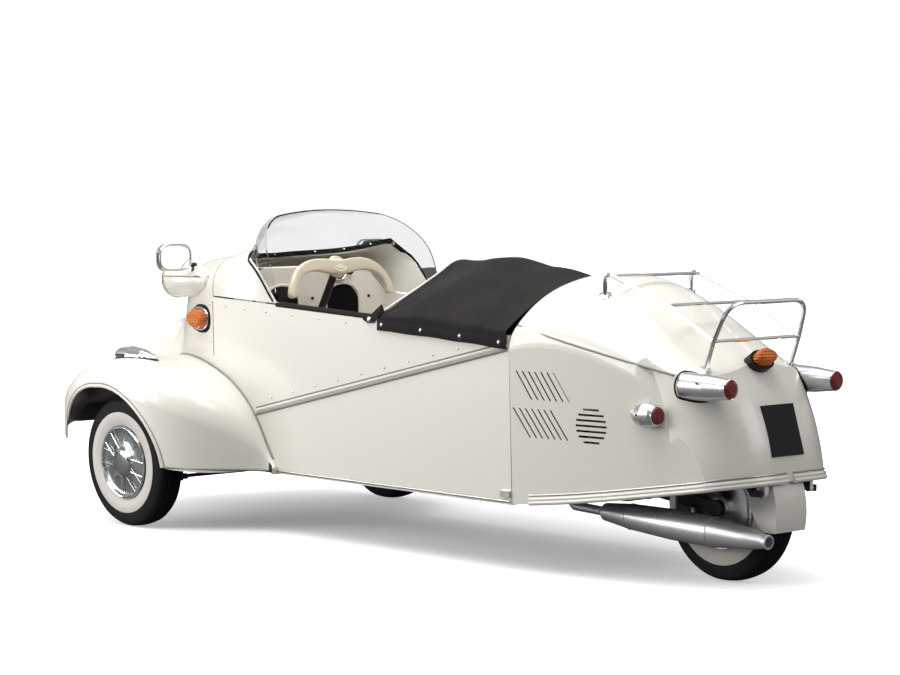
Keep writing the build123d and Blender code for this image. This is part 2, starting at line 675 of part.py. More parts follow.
def dashboard():
    """Panel across the cabin with two foot arches, the column's hole and a shelf on top."""
    right = [(-x, z) for x, z in reversed(DASH_OUTLINE)]
    face = make_face(Polyline(*DASH_OUTLINE, *right, close=True))
    panel = extrude(Plane.XZ.offset(-DASH_Y) * face, amount=DASH_THICKNESS)
    for centre in (-ARCH_X, ARCH_X):
        with BuildSketch(Plane.XZ.offset(-DASH_Y - OVERRUN)) as arch:
            with BuildLine():
                low, high = (centre - ARCH_HALF, ARCH_SPRING_Z), (centre + ARCH_HALF, ARCH_SPRING_Z)
                ThreePointArc(low, (centre, ARCH_TOP_Z), high)
                Polyline(high, (centre + ARCH_HALF, 0), (centre - ARCH_HALF, 0), low)
            make_face()
        panel = panel - extrude(arch.sketch, amount=2 * OVERRUN)
    top = DASH_OUTLINE[-1][1]
    shelf = block(-SHELF_HALF, SHELF_HALF, SHELF_FRONT_Y, DASH_Y - DASH_THICKNESS, top - DASH_THICKNESS, top)
    panel = panel & body_loft(TUB_ROWS, WALL + SEAT_GAP)
    return fuse(panel, shelf) - rod(COLUMN_TOP, COLUMN_FOOT, COLUMN_RADIUS + PIN_GAP)


SEAT_BASE_HALF = 170.0
SEAT_BASE_YS = (-150.0, 215.0)
SEAT_BASE_TOP = 328.0
CUSHION_HALF = 190.0
CUSHION_YS = (-230.0, 145.0)
CUSHION_TOP = 420.0
CUSHION_ROUND = 28.0
BACK_HALF = 188.0
BACK_ROUND = 20.0
# Side view of the seat back. Columns: y, z
BACK_OUTLINE = [(150.0, 328.3), (208.0, 328.3), (262.0, 752.0), (208.0, 766.0), (150.0, 470.0)]


def seat_base():
    """Box under the seat, standing on the floor."""
    return block(-SEAT_BASE_HALF, SEAT_BASE_HALF, *SEAT_BASE_YS, FLOOR_Z + WALL + SEAT_GAP, SEAT_BASE_TOP)


def seat_cushion():
    """Rounded cushion on the base."""
    body = block(-CUSHION_HALF, CUSHION_HALF, *CUSHION_YS, SEAT_BASE_TOP + SEAT_GAP, CUSHION_TOP)
    return fillet(body.edges().filter_by(Axis.Z) + body.faces().sort_by(Axis.Z)[-1].edges(), CUSHION_ROUND)


def seat_back():
    """Leaning back rest behind the cushion."""
    body = side_prism(BACK_OUTLINE, BACK_HALF)
    return fillet(body.faces().sort_by(Axis.Z)[-1].edges(), BACK_ROUND)


TONNEAU_WALL = 3.0
TONNEAU_HALF = 336.5
# Columns: y, hem z, shoulder z, bend x, bend z, peak x, peak z, crown z
TONNEAU_ROWS = [
    (85.0, 644.0, 688.0, 210.0, 746.0, 70.0, 816.0, 842.0),
    (290.0, 636.0, 690.0, 250.0, 765.0, 90.0, 838.0, 856.0),
    (460.0, 627.0, 677.0, 260.0, 744.0, 110.0, 815.0, 836.0),
    (628.0, 617.0, 668.0, 255.0, 724.0, 120.0, 784.0, 806.0),
]


def tonneau_section(row, inset):
    """Outline of the cover at one place, moved in by the cloth's thickness."""
    y, hem, shoulder, bend_x, bend_z, peak_x, peak_z, crown = row
    half = TONNEAU_HALF - inset
    hem = hem - OVERRUN if inset else hem
    bend = (bend_x - inset / 2, bend_z - inset)
    left, right = (peak_x, y, peak_z - inset), (-peak_x, y, peak_z - inset)
    edges = [
        Edge.make_line((-half, y, hem), (half, y, hem)),
        Edge.make_line((half, y, hem), (half, y, shoulder)),
        Edge.make_three_point_arc((half, y, shoulder), (bend[0], y, bend[1]), left),
        Edge.make_three_point_arc(left, (0, y, crown - inset), right),
        Edge.make_three_point_arc(right, (-bend[0], y, bend[1]), (-half, y, shoulder)),
        Edge.make_line((-half, y, shoulder), (-half, y, hem)),
    ]
    return Wire(edges)


def tonneau_cover():
    """Cloth cover over the rear of the cockpit, open in front."""
    outer = Solid.make_loft([tonneau_section(row, 0) for row in TONNEAU_ROWS])
    return outer - Solid.make_loft([tonneau_section(row, TONNEAU_WALL) for row in TONNEAU_ROWS])


# Engine bay, rear wheel carrier and silencer

FRAME_X = 100.0
FRAME_Z = 330.0
FRAME_RADIUS = 12.0
FRAME_START_Y = BULKHEAD_Y + BULKHEAD_THICKNESS + SEAT_GAP
FRAME_BEND_Y = 1270.0
FRAME_END = (1336.0, 266.0)
FRAME_LUG_YS = (1330.0, 1367.0)
FRAME_BEND = 40.0
PLATE_THICKNESS = 8.0
PLATE_HALF = 130.0
PLATE_ZS = (280.0, 380.0)
PIVOT_Y = 930.0
PIVOT_Z = 230.0
PIVOT_RADIUS = 14.0
PIVOT_PLATE_HALF = 20.0
HANGER_XS = (90.0, 104.0)
STRAP_YS = (735.0, 840.0)
STRAP_WIDTH = 30.0
ENGINE_YS = (700.0, 895.0)
ENGINE_HALF = 84.0
ENGINE_ZS = (205.0, 420.0)
STRAP_THICKNESS = 8.0


def rear_frame():
    """Two tubes from the bulkhead to the tail's hinge pins, with engine straps and pivot plates."""
    plate = block(-PLATE_HALF, PLATE_HALF, FRAME_START_Y, FRAME_START_Y + PLATE_THICKNESS, *PLATE_ZS)
    pieces = [plate]
    for side in (-1, 1):
        x = side * FRAME_X
        points = [
            (x, FRAME_START_Y, FRAME_Z),
            (x, FRAME_BEND_Y, FRAME_Z),
            (x + side * PLATE_THICKNESS, *FRAME_END),
        ]
        pieces.append(bent_tube(points, FRAME_RADIUS, FRAME_BEND))
        outer = x + side * (PLATE_THICKNESS + STUD_RADIUS)
        near, far = sorted((x + side * PLATE_THICKNESS / 2, outer))
        low, high = TAIL_HINGE_Z - TAIL_EYE_RADIUS, TAIL_HINGE_Z + TAIL_EYE_RADIUS
        pieces.append(block(near, far, *FRAME_LUG_YS, low, high))
        inner = side * (TAIL_EYE_XS[0] - STUD_RADIUS)
        pin_start, pin_end = (inner, TAIL_HINGE_Y, TAIL_HINGE_Z), (outer, TAIL_HINGE_Y, TAIL_HINGE_Z)
        pieces.append(rod(pin_start, pin_end, TAIL_PIN_RADIUS))
        near, far = sorted((side * HANGER_XS[0], side * HANGER_XS[1]))
        low = PIVOT_Z - PIVOT_PLATE_HALF
        pieces.append(block(near, far, PIVOT_Y - PIVOT_PLATE_HALF, PIVOT_Y + PIVOT_PLATE_HALF, low, FRAME_Z))
        strap_low = ENGINE_ZS[0] - SEAT_GAP - STRAP_THICKNESS
        for y in STRAP_YS:
            pieces.append(block(near, far, y, y + STRAP_WIDTH, strap_low, FRAME_Z))
    strap_top = ENGINE_ZS[0] - SEAT_GAP
    for y in STRAP_YS:
        strap = block(-HANGER_XS[1], HANGER_XS[1], y, y + STRAP_WIDTH, strap_top - STRAP_THICKNESS, strap_top)
        pieces.append(strap)
    body = fuse(*pieces)
    reach = HANGER_XS[1] + OVERRUN
    return body - rod((-reach, PIVOT_Y, PIVOT_Z), (reach, PIVOT_Y, PIVOT_Z), PIVOT_RADIUS + SEAT_GAP)


def engine_block():
    """Engine as one plain block between the frame tubes."""
    return block(-ENGINE_HALF, ENGINE_HALF, *ENGINE_YS, *ENGINE_ZS)


SWING_XS = (57.0, 65.0)
SWING_HALF = 16.0
AXLE_RADIUS = 12.0
AXLE_EYE_RADIUS = 22.0


def swing_arm():
    """Fork from the pivot to the rear axle, with the pivot tube and the axle."""
    reach = HANGER_XS[1]
    pieces = [rod((-reach, PIVOT_Y, PIVOT_Z), (reach, PIVOT_Y, PIVOT_Z), PIVOT_RADIUS)]
    pieces.append(rod((-SWING_XS[1], REAR_AXLE_Y, AXLE_Z), (SPINDLE_REACH, REAR_AXLE_Y, AXLE_Z), AXLE_RADIUS))
    for side in (-1, 1):
        near, far = sorted((side * SWING_XS[0], side * SWING_XS[1]))
        corners = [
            (PIVOT_Y, PIVOT_Z - SWING_HALF),
            (REAR_AXLE_Y, AXLE_Z - SWING_HALF),
            (REAR_AXLE_Y, AXLE_Z + SWING_HALF),
            (PIVOT_Y, PIVOT_Z + SWING_HALF),
        ]
        plate = side_prism(corners, HALF_WIDTH) & block(near, far, 0, HALF_LENGTH, 0, SHEET_CUT)
        pieces.append(plate)
        pieces.append(rod((near, REAR_AXLE_Y, AXLE_Z), (far, REAR_AXLE_Y, AXLE_Z), AXLE_EYE_RADIUS))
        pieces.append(rod((near, PIVOT_Y, PIVOT_Z), (far, PIVOT_Y, PIVOT_Z), AXLE_EYE_RADIUS))
    return fuse(*pieces)


GUARD_OUTER = 215.0
GUARD_WALL = 3.0
GUARD_HALF = 62.0
GUARD_LOW_Z = 153.0
GUARD_FRONT_Y = 985.0
GUARD_FRONT_Z = 300.0
# Front edge of the side walls, seen from the side. Columns: y, z
GUARD_EDGE = [(1262.0, 420.0), (1266.0, 300.0), (1274.0, 240.0), (1298.0, 190.0), (1330.0, GUARD_LOW_Z)]
# Brackets to the frame tubes. Columns: y start, y end, z foot, z top
GUARD_BRACKETS = [
    (1150.0, 1174.0, 322.0, 416.0),
    (996.0, 1010.0, 322.0, 344.0),
]


def rear_mudguard():
    """Curved mudguard over the rear wheel with two side walls and brackets to the frame."""
    start, end = (-GUARD_HALF, REAR_AXLE_Y, AXLE_Z), (GUARD_HALF, REAR_AXLE_Y, AXLE_Z)
    drum = rod(start, end, GUARD_OUTER)
    inner_start = (GUARD_WALL - GUARD_HALF, REAR_AXLE_Y, AXLE_Z)
    inner_end = (GUARD_HALF - GUARD_WALL, REAR_AXLE_Y, AXLE_Z)
    hollow = rod(inner_start, inner_end, GUARD_OUTER - GUARD_WALL)
    wide = rod(start, end, GUARD_OUTER - GUARD_WALL)
    over = block(-HALF_WIDTH, HALF_WIDTH, 0, SHEET_CUT, GUARD_LOW_Z, SHEET_CUT)
    far_corners = [(SHEET_CUT, GUARD_LOW_Z), (SHEET_CUT, GUARD_EDGE[0][1])]
    behind = over & side_prism([*GUARD_EDGE, *far_corners], HALF_WIDTH)
    walls = (drum - hollow) & behind
    front = block(-HALF_WIDTH, HALF_WIDTH, 0, REAR_AXLE_Y, 0, GUARD_FRONT_Z)
    band = (drum - wide) & over - front
    pieces = [band, walls]
    for y0, y1, z0, z1 in GUARD_BRACKETS:
        for side in (-1, 1):
            near, far = sorted((side * GUARD_HALF, side * (GUARD_HALF - GUARD_WALL)))
            pieces.append(block(near, far, y0, y1, z0, z1))
            near, far = sorted((side * GUARD_HALF, side * FRAME_X))
            pieces.append(block(near, far, y0, y1, z0, z0 + 2 * STUD_RADIUS))
    body = fuse(*pieces)
    for side in (-1, 1):
        tube_start = (side * FRAME_X, 0, FRAME_Z)
        body = body - rod(tube_start, (side * FRAME_X, HALF_LENGTH, FRAME_Z), FRAME_RADIUS + SEAT_GAP)
    return body


SILENCER_X = 115.0
SILENCER_START = (SILENCER_X, 640.0, 170.0)
SILENCER_END_Z = 138.0
OUTLET_RADIUS = 19.0
OUTLET_BORE = 15.0
OUTLET_DEPTH = 60.0
# Columns: distance along the silencer, radius
SILENCER_OUTLINE = [
    (150.0, 16.0),
    (162.0, 25.0),
    (262.0, 36.0),
    (420.0, 42.5),
    (566.0, 41.0),
    (686.0, 29.5),
    (745.0, OUTLET_RADIUS),
]
PIPE_RADIUS = 13.0
PIPE_BEND = 24.0
# Exhaust pipe from the engine's front face. Columns: x, y, z
PIPE_POINTS = [
    (60.0, ENGINE_YS[0] - SEAT_GAP, 262.0),
    (60.0, 660.0, 262.0),
    (SILENCER_X, 662.0, 169.0),
    (SILENCER_X, 800.0, 163.0),
]
SILENCER_STRAP_YS = (1040.0, 1060.0)
SILENCER_STRAP_XS = (104.0, 112.0)
SILENCER_STRAP_Z = 180.0


def silencer():
    """Silencer with its bored outlet, the pipe from the engine and the strap to the frame."""
    fall = atan2(SILENCER_START[2] - SILENCER_END_Z, HALF_LENGTH - SILENCER_START[1])
    end_y = HALF_LENGTH - OUTLET_RADIUS * sin(fall)
    length = (end_y - SILENCER_START[1]) / cos(fall)
    profile = [*SILENCER_OUTLINE, (length, OUTLET_RADIUS)]
    face = make_face(Polyline(*profile, (length, 0), (profile[0][0], 0), close=True))
    body = revolve(face, Axis.X)
    bore = rod((length - OUTLET_DEPTH, 0, 0), (length + OVERRUN, 0, 0), OUTLET_BORE)
    placed = Pos(*SILENCER_START) * Rot(-degrees(fall), 0, 0) * Rot(0, 0, 90) * (body - bore)
    strap = block(*SILENCER_STRAP_XS, *SILENCER_STRAP_YS, SILENCER_STRAP_Z, FRAME_Z)
    tube = rod((FRAME_X, 0, FRAME_Z), (FRAME_X, HALF_LENGTH, FRAME_Z), FRAME_RADIUS + SEAT_GAP)
    return fuse(placed, bent_tube(PIPE_POINTS, PIPE_RADIUS, PIPE_BEND), strap - tube)


# Fenders

FENDER_INNER_X = 150.0
# Columns: y, low z, top z, outer x, corner radius
FENDER_ROWS = [
    (-1292.0, 288.0, 352.0, 430.0, 50.0),
    (-1180.0, 262.0, 452.0, 562.0, 90.0),
    (-960.0, 230.0, 515.0, 609.0, 100.0),
    (-790.0, 222.0, 514.0, 611.0, 100.0),
    (-617.0, 196.0, 453.0, 564.0, 90.0),
    (-500.0, 188.0, 350.0, 416.0, 60.0),
    (-404.0, 181.0, 204.0, 337.0, 12.0),
]
ARCH_CUT_X = 450.0
# Edge of the wheel arch. Columns: y, z
ARCH_FRONT = [(-1150.0, 280.0), (-1082.0, 386.0), (-950.0, 430.0)]
ARCH_REAR = [(-950.0, 430.0), (-738.0, 366.0), (-646.0, 200.0)]


def fender_section(row, inset):
    """Outline of a fender at one place, moved in by the sheet's thickness."""
    y, low, high, outer, corner = row
    inner_x = FENDER_INNER_X - inset
    low = low - OVERRUN if inset > 0 else low + inset
    high, outer, corner = high - inset, outer - inset, corner - inset
    middle = corner * (1 - cos(radians(45)))
    side, top = (outer, y, high - corner), (outer - corner, y, high)
    edges = [
        Edge.make_line((inner_x, y, low), (outer, y, low)),
        Edge.make_line((outer, y, low), side),
        Edge.make_three_point_arc(side, (outer - middle, y, high - middle), top),
        Edge.make_line(top, (inner_x, y, high)),
        Edge.make_line((inner_x, y, high), (inner_x, y, low)),
    ]
    return Wire(edges)


def fender_solid(inset):
    """Left front fender as a full body, moved in by the sheet's thickness."""
    first, last = FENDER_ROWS[0], FENDER_ROWS[-1]
    rows = [(first[0] + inset, *first[1:]), *FENDER_ROWS[1:-1], (last[0] - inset, *last[1:])]
    return Solid.make_loft([fender_section(row, inset) for row in rows])


def fender():
    """Left front fender in one sheet, open below, with its wheel arch."""
    shell = fender_solid(0) - fender_solid(FENDER_WALL)
    with BuildSketch(Plane.YZ.offset(ARCH_CUT_X)) as arch:
        with BuildLine():
            ThreePointArc(*ARCH_FRONT)
            ThreePointArc(*ARCH_REAR)
            Polyline(ARCH_REAR[-1], (ARCH_REAR[-1][0], 0), (ARCH_FRONT[0][0], 0), ARCH_FRONT[0])
        make_face()
    shell = shell - extrude(arch.sketch, amount=HALF_WIDTH)
    return shell - body_loft(FRONT_ROWS, -SEAT_GAP) - body_loft(TUB_ROWS, -SEAT_GAP)


# Lamps, mirrors and small fittings. Each outline lists (distance back from the front, radius)

POD_CENTRE = (300.0, -925.0, 760.0)
POD_OUTLINE = [(0.0, 56.0), (50.0, 57.0), (120.0, 50.0), (180.0, 34.0), (207.0, 12.0)]
RIM_OUTLINE = [(-14.0, 52.0), (-10.0, 57.0), (-0.3, 60.0)]
LENS_OUTLINE = [(-26.0, 16.0), (-22.0, 36.0), (-14.3, 50.0)]


def headlamp_pods():
    """Two painted lamp pods on the nose's shoulders."""
    return nose_pair(POD_OUTLINE, POD_CENTRE)


def nose_pair(outline, centre):
    """The same turned piece on both sides of the nose, cut to its surface."""
    piece = turned(outline, centre) - body_loft(FRONT_ROWS, -SEAT_GAP)
    return Compound([piece, mirrored(piece)])


MIRROR_CENTRE = (407.0, -806.0, 834.0)
MIRROR_SIZE = (124.0, 20.0, 84.0)
MIRROR_ROUND = 9.0
MIRROR_STEM_RADIUS = 5.0
MIRROR_FOOT = (330.0, -806.0, 806.0)
MIRROR_FOOT_RADIUS = 12.0
MIRROR_CORNER = 30.0


def mirrors():
    """Two mirror heads, each on a short stem with a foot on the pod."""
    x, y, z = MIRROR_CENTRE
    width, depth, height = MIRROR_SIZE
    head = Pos(x, y, z) * Box(width, depth, height)
    head = fillet(head.edges().filter_by(Axis.Y), MIRROR_CORNER)
    head = fillet(head.faces().sort_by(Axis.Y)[0].edges(), MIRROR_ROUND)
    stem = rod(MIRROR_CENTRE, MIRROR_FOOT, MIRROR_STEM_RADIUS)
    base = (MIRROR_FOOT[0], MIRROR_FOOT[1], MIRROR_FOOT[2] - OVERRUN - MIRROR_FOOT_RADIUS)
    foot = rod(MIRROR_FOOT, base, MIRROR_FOOT_RADIUS)
    grown = [(place, radius + SEAT_GAP) for place, radius in POD_OUTLINE]
    piece = fuse(head, stem, foot - turned(grown, POD_CENTRE)) - body_loft(FRONT_ROWS, -SEAT_GAP)
    return Compound([piece, mirrored(piece)])


def oval(half_long, half_high, depth, rounding=0.0):
    """Oval block that stands out along Z from the origin, its front edge rounded."""
    body = extrude(Plane.XY * Ellipse(half_long, half_high), amount=depth)
    if rounding:
        body = fillet(body.faces().sort_by(Axis.Z)[-1].edges(), rounding)
    return body


INDICATOR_CENTRE = (331.0, -775.0, 642.0)
INDICATOR_BASE = (49.0, 40.0)
INDICATOR_LENS = (37.0, 29.0)
INDICATOR_DEPTH = 26.0
INDICATOR_ROUND = 12.0
FACING_LEFT = Plane(origin=INDICATOR_CENTRE, x_dir=(0, 1, 0), z_dir=(1, 0, 0))


def indicator_bases():
    """Oval bases of the side indicators."""
    base = FACING_LEFT * Pos(0, 0, -OVERRUN) * oval(*INDICATOR_BASE, OVERRUN)
    base = base - body_loft(FRONT_ROWS, -SEAT_GAP)
    return Compound([base, mirrored(base)])


def indicator_lenses():
    """Oval lenses of the side indicators."""
    lens = FACING_LEFT * Pos(0, 0, SEAT_GAP) * oval(*INDICATOR_LENS, INDICATOR_DEPTH, INDICATOR_ROUND)
    return Compound([lens, mirrored(lens)])


FENDER_LAMP_CENTRE = (480.0, -991.0, 524.0)
FENDER_LAMP_OUTLINE = [(0.0, 19.0), (14.0, 25.0), (70.0, 31.0), (130.0, 24.0), (196.0, 4.0)]
TAIL_LAMP_CENTRE = (213.0, 1175.0, 543.0)
TAIL_LAMP_OUTLINE = [(0.0, 30.0), (20.0, 38.0), (100.0, 35.0), (165.0, 28.0), (172.0, 27.0)]
TAIL_LENS_OUTLINE = [(172.3, 25.0), (178.0, 24.0), (182.0, 14.0)]
FLANK_LAMP_CENTRE = (275.0, 1052.0, 464.0)
FLANK_LAMP_OUTLINE = [(0.0, 4.0), (12.0, 18.0), (32.0, 30.0), (55.0, 35.0), (83.0, 31.0), (93.0, 26.0)]
FLANK_LENS_OUTLINE = [(93.3, 24.0), (99.0, 22.0), (103.0, 12.0)]


def fender_lamps():
    """Teardrop lamps on the fenders' tops."""
    lamp = turned(FENDER_LAMP_OUTLINE, FENDER_LAMP_CENTRE) - fender_solid(-SEAT_GAP)
    return Compound([lamp, mirrored(lamp)])


def rear_lamps():
    """Cones on the tail's rear corners and bullet lamps on its flanks."""
    corner = turned(TAIL_LAMP_OUTLINE, TAIL_LAMP_CENTRE) - tail_solid(-SEAT_GAP)
    flank = turned(FLANK_LAMP_OUTLINE, FLANK_LAMP_CENTRE) - tail_solid(-SEAT_GAP)
    return Compound([corner, flank, mirrored(corner), mirrored(flank)])


def rear_lamp_lenses():
    """Red lenses of the lamps on the tail's corners and flanks."""
    corner = turned(TAIL_LENS_OUTLINE, TAIL_LAMP_CENTRE)
    flank = turned(FLANK_LENS_OUTLINE, FLANK_LAMP_CENTRE) - tail_solid(-SEAT_GAP)
    return Compound([corner, flank, mirrored(corner), mirrored(flank)])


BEACON_CENTRE = (0.0, 1259.0, 600.0)
BEACON_NORMAL = (0.0, 0.83, 0.56)
BEACON_BASE = (44.0, 30.0)
BEACON_LENS = (36.0, 22.0)
BEACON_BASE_DEPTH = 14.0
BEACON_DEPTH = 30.0
BEACON_ROUND = 11.0
BEACON_PLANE = Plane(origin=BEACON_CENTRE, x_dir=(1, 0, 0), z_dir=BEACON_NORMAL)


def beacon_base():
    """Oval foot of the amber lamp on the tail's back."""
    foot = Pos(0, 0, -OVERRUN) * oval(*BEACON_BASE, OVERRUN + BEACON_BASE_DEPTH)
    return BEACON_PLANE * foot - tail_solid(-SEAT_GAP)


def beacon_lamp():
    """Amber lens of the lamp on the tail's back."""
    lens = oval(*BEACON_LENS, BEACON_DEPTH, BEACON_ROUND)
    return BEACON_PLANE * Pos(0, 0, BEACON_BASE_DEPTH + SEAT_GAP) * lens


PLATE_SIZE = (126.0, 140.0, 5.0)
PLATE_CENTRE = (0.0, 1343.0, 423.0)
PLATE_LEAN = 17.0


def number_plate():
    """Blank upright plate on the tail's back."""
    width, height, thickness = PLATE_SIZE
    outward = (0, cos(radians(PLATE_LEAN)), sin(radians(PLATE_LEAN)))
    place = Plane(origin=PLATE_CENTRE, x_dir=(-1, 0, 0), z_dir=outward)
    return place * Pos(0, 0, -thickness / 2) * Box(width, height, 2 * thickness) - tail_solid(-SEAT_GAP)


RACK_RADIUS = 6.0
RACK_BAR_RADIUS = 5.0
RACK_BEND = 26.0
RACK_HALF = 172.0
RACK_TOP_HALF = 156.0
RACK_FOOT_RADIUS = 12.0
RACK_FOOT_THICKNESS = 4.0
RACK_FEET_Y = (850.0, 1218.0)
# Left rail. Columns: y, z
RACK_RAIL = [(850.0, 760.0), (850.0, 834.0), (1088.0, 751.0), (1250.0, 662.0)]
# Hoop from one rear foot to the other. Columns: half width, y, z
RACK_HOOP = [(RACK_HALF, 1217.0, 570.0), (RACK_HALF, 1250.0, 662.0), (RACK_TOP_HALF, 1291.0, 764.0)]
# Cross bars. Columns: y, z
RACK_BARS = [(876.0, 825.0), (1088.0, 751.0), (1250.0, 662.0)]


def luggage_rack():
    """Tube rack on the tail: two rails, three cross bars, a hoop and four feet."""
    rail = bent_tube([(RACK_HALF, y, z) for y, z in RACK_RAIL], RACK_RADIUS, RACK_BEND)
    right = [(-x, y, z) for x, y, z in reversed(RACK_HOOP)]
    hoop = bent_tube([*RACK_HOOP, *right], RACK_RADIUS, RACK_BEND)
    bars = [rod((-RACK_HALF, y, z), (RACK_HALF, y, z), RACK_BAR_RADIUS) for y, z in RACK_BARS]
    tubes = fuse(rail, mirrored(rail), hoop, *bars) - tail_solid(-SEAT_GAP)
    layer = tail_solid(-SEAT_GAP - RACK_FOOT_THICKNESS) - tail_solid(-SEAT_GAP)
    feet = []
    for y in RACK_FEET_Y:
        for x in (-RACK_HALF, RACK_HALF):
            feet.append(rod((x, y, AXLE_Z), (x, y, SHEET_CUT), RACK_FOOT_RADIUS) & layer)
    over = block(-HALF_WIDTH, HALF_WIDTH, 0, HALF_LENGTH, PLATE_CENTRE[2], SHEET_CUT)
    return fuse(tubes, *[foot & over for foot in feet])


DIAL_CENTRE = (-100.0, -618.7, 786.0)
DIAL_OUTLINE = [(0.0, 32.0), (12.0, 32.0), (16.0, 27.0)]
LATCH_XS = (314.0, 329.0)
LATCH_YS = (596.0, 630.0)
LATCH_ZS = (204.0, 222.0)


def speedometer():
    """Round dial behind the handlebar."""
    return turned(DIAL_OUTLINE, DIAL_CENTRE)


def tail_latches():
    """Toggle latches low on the tub, one a side, that hold the tail shut."""
    latch = block(*LATCH_XS, *LATCH_YS, *LATCH_ZS) - body_loft(TUB_ROWS, -SEAT_GAP)
    return Compound([latch, mirrored(latch)])


# Files

save("nose_shell", nose_shell())
save("lower_hull", lower_hull())
save("side_panel_left", side_panel())
save("side_panel_right", side_panel_right())
save("cowl", cowl())
save("windscreen", windscreen())
save("tail_shell", tail_shell())
left_fender = fender()
save("fender_left", left_fender)
save("fender_right", mirrored(left_fender))
save("headlamp_pods", headlamp_pods())
save("headlamp_rims", nose_pair(RIM_OUTLINE, POD_CENTRE))
save("headlamp_lenses", nose_pair(LENS_OUTLINE, POD_CENTRE))
save("mirrors", mirrors())
save("indicator_bases", indicator_bases())
save("indicator_lenses", indicator_lenses())
save("fender_lamps", fender_lamps())
save("rear_lamps", rear_lamps())
save("rear_lamp_lenses", rear_lamp_lenses())
save("beacon_base", beacon_base())
save("beacon_lamp", beacon_lamp())
save("number_plate", number_plate())
save("luggage_rack", luggage_rack())
save("tail_latches", tail_latches())
save("dashboard", dashboard())
save("speedometer", speedometer())
save("steering_column", steering_column())
save("handlebar", handlebar())
save("seat_base", seat_base())
save("seat_pads", Compound([seat_cushion(), seat_back()]))
save("tonneau_cover", tonneau_cover())
save("rear_frame", rear_frame())
save("engine_block", engine_block())
save("swing_arm", swing_arm())
save("silencer", silencer())
save("rear_mudguard", rear_mudguard())
left_arm = suspension_arm()
save("suspension_arms", Compound([left_arm, mirrored(left_arm)]))
left_knuckle = knuckle()
save("knuckle_left", left_knuckle)
save("knuckle_right", mirrored(left_knuckle))
save("track_rod", track_rod())
save("tyre_front_left", front_place() * tyre())
save("tyre_front_right", mirrored(front_place() * tyre()))
save("tyre_rear", rear_place() * tyre())
save("wheel_front_left", front_place() * wheel())
save("wheel_front_right", mirrored(front_place() * wheel()))
save("wheel_rear", rear_place() * wheel())
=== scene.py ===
# %% [markdown]
# # A small three wheeled car, dressed for a studio picture
# The painted bodywork comes from a finished model. This lesson adds what the eye looks for
# on the real car: trim beads, snaps, a cloth cover, whitewall tyres and the finishes.
# Every piece is shaped with the tools a person would use by hand, called from code.

# %% Load the finished body
import math

import bpy
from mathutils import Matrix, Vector


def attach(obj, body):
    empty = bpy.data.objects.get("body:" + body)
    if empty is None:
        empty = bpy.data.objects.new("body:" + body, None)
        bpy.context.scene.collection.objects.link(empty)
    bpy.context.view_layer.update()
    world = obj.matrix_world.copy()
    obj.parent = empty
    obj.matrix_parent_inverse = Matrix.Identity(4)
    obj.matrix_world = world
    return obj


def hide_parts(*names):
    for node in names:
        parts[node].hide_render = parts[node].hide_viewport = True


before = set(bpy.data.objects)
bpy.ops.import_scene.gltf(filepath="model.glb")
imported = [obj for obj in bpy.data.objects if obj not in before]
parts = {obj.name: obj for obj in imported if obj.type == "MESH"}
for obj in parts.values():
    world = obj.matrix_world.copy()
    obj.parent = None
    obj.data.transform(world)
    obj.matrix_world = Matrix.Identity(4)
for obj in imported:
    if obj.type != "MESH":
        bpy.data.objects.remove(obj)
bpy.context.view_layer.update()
print("body pieces:", len(parts))

# %% [markdown]
# ## The studio
# The real car was photographed from behind its left corner with a long lens, low down.
# A long lens keeps both ends of the car at nearly one size, so the camera stands far back.

# %% Camera
CAMERA_PLACE = (5.641, 6.214, 1.155)
CAMERA_TURN = (math.radians(86.25), 0.0, math.radians(137.63))
LENS_MM, FILM_MM, FARTHEST_SEEN = 111.7, 36.0, 200.0
lens = bpy.data.cameras.new("long_lens")
lens.lens = LENS_MM
lens.sensor_width = FILM_MM
lens.clip_end = FARTHEST_SEEN
camera = bpy.data.objects.new("camera", lens)
camera.location = CAMERA_PLACE
camera.rotation_euler = CAMERA_TURN
bpy.context.collection.objects.link(camera)
bpy.context.scene.camera = camera
bpy.context.scene.view_settings.view_transform = "Standard"
print("camera stands at", CAMERA_PLACE)


# %% Node helpers
WHITE = (1.0, 1.0, 1.0, 1.0)


def feed(node, **values):
    """Fill a node's sockets by name, each with a link or a plain value."""
    for name, value in values.items():
        socket = node.inputs[name.replace("_", " ")]
        if hasattr(value, "node"):
            node.id_data.links.new(value, socket)
        else:
            socket.default_value = value


def put(tree, kind, *first_inputs, **values):
    """Add one node: its first inputs in order, then its settings and sockets by name."""
    node = tree.nodes.new(kind)
    settings = {name: value for name, value in values.items() if hasattr(node, name)}
    for name, value in settings.items():
        setattr(node, name, value)
    for socket, value in zip(node.inputs, first_inputs):
        if hasattr(value, "node"):
            tree.links.new(value, socket)
        else:
            socket.default_value = value
    feed(node, **{name: value for name, value in values.items() if name not in settings})
    return node


def mixed(tree, share, low, high):
    """A colour between two others, by a share."""
    return put(tree, "ShaderNodeMix", data_type="RGBA", Factor=share, A=low, B=high).outputs["Result"]


def ranged(tree, value, low, high, **settings):
    """A number moved to the range from low to high."""
    return put(tree, "ShaderNodeMapRange", Value=value, To_Min=low, To_Max=high, **settings).outputs["Result"]


def worked(tree, operation, first, second):
    """Two numbers put together by one sum."""
    return put(tree, "ShaderNodeMath", first, second, operation=operation).outputs[0]


def relief_from(tree, height, strength, depth):
    """A normal that makes a height pattern look raised."""
    return put(tree, "ShaderNodeBump", Height=height, Strength=strength, Distance=depth).outputs["Normal"]


def own_place(tree, kind="Object"):
    """The place on the piece that a pattern reads."""
    return put(tree, "ShaderNodeTexCoord").outputs[kind]


def noise_on(tree, place, **values):
    """A cloudy pattern over a place."""
    return put(tree, "ShaderNodeTexNoise", Vector=place, **values).outputs["Fac"]


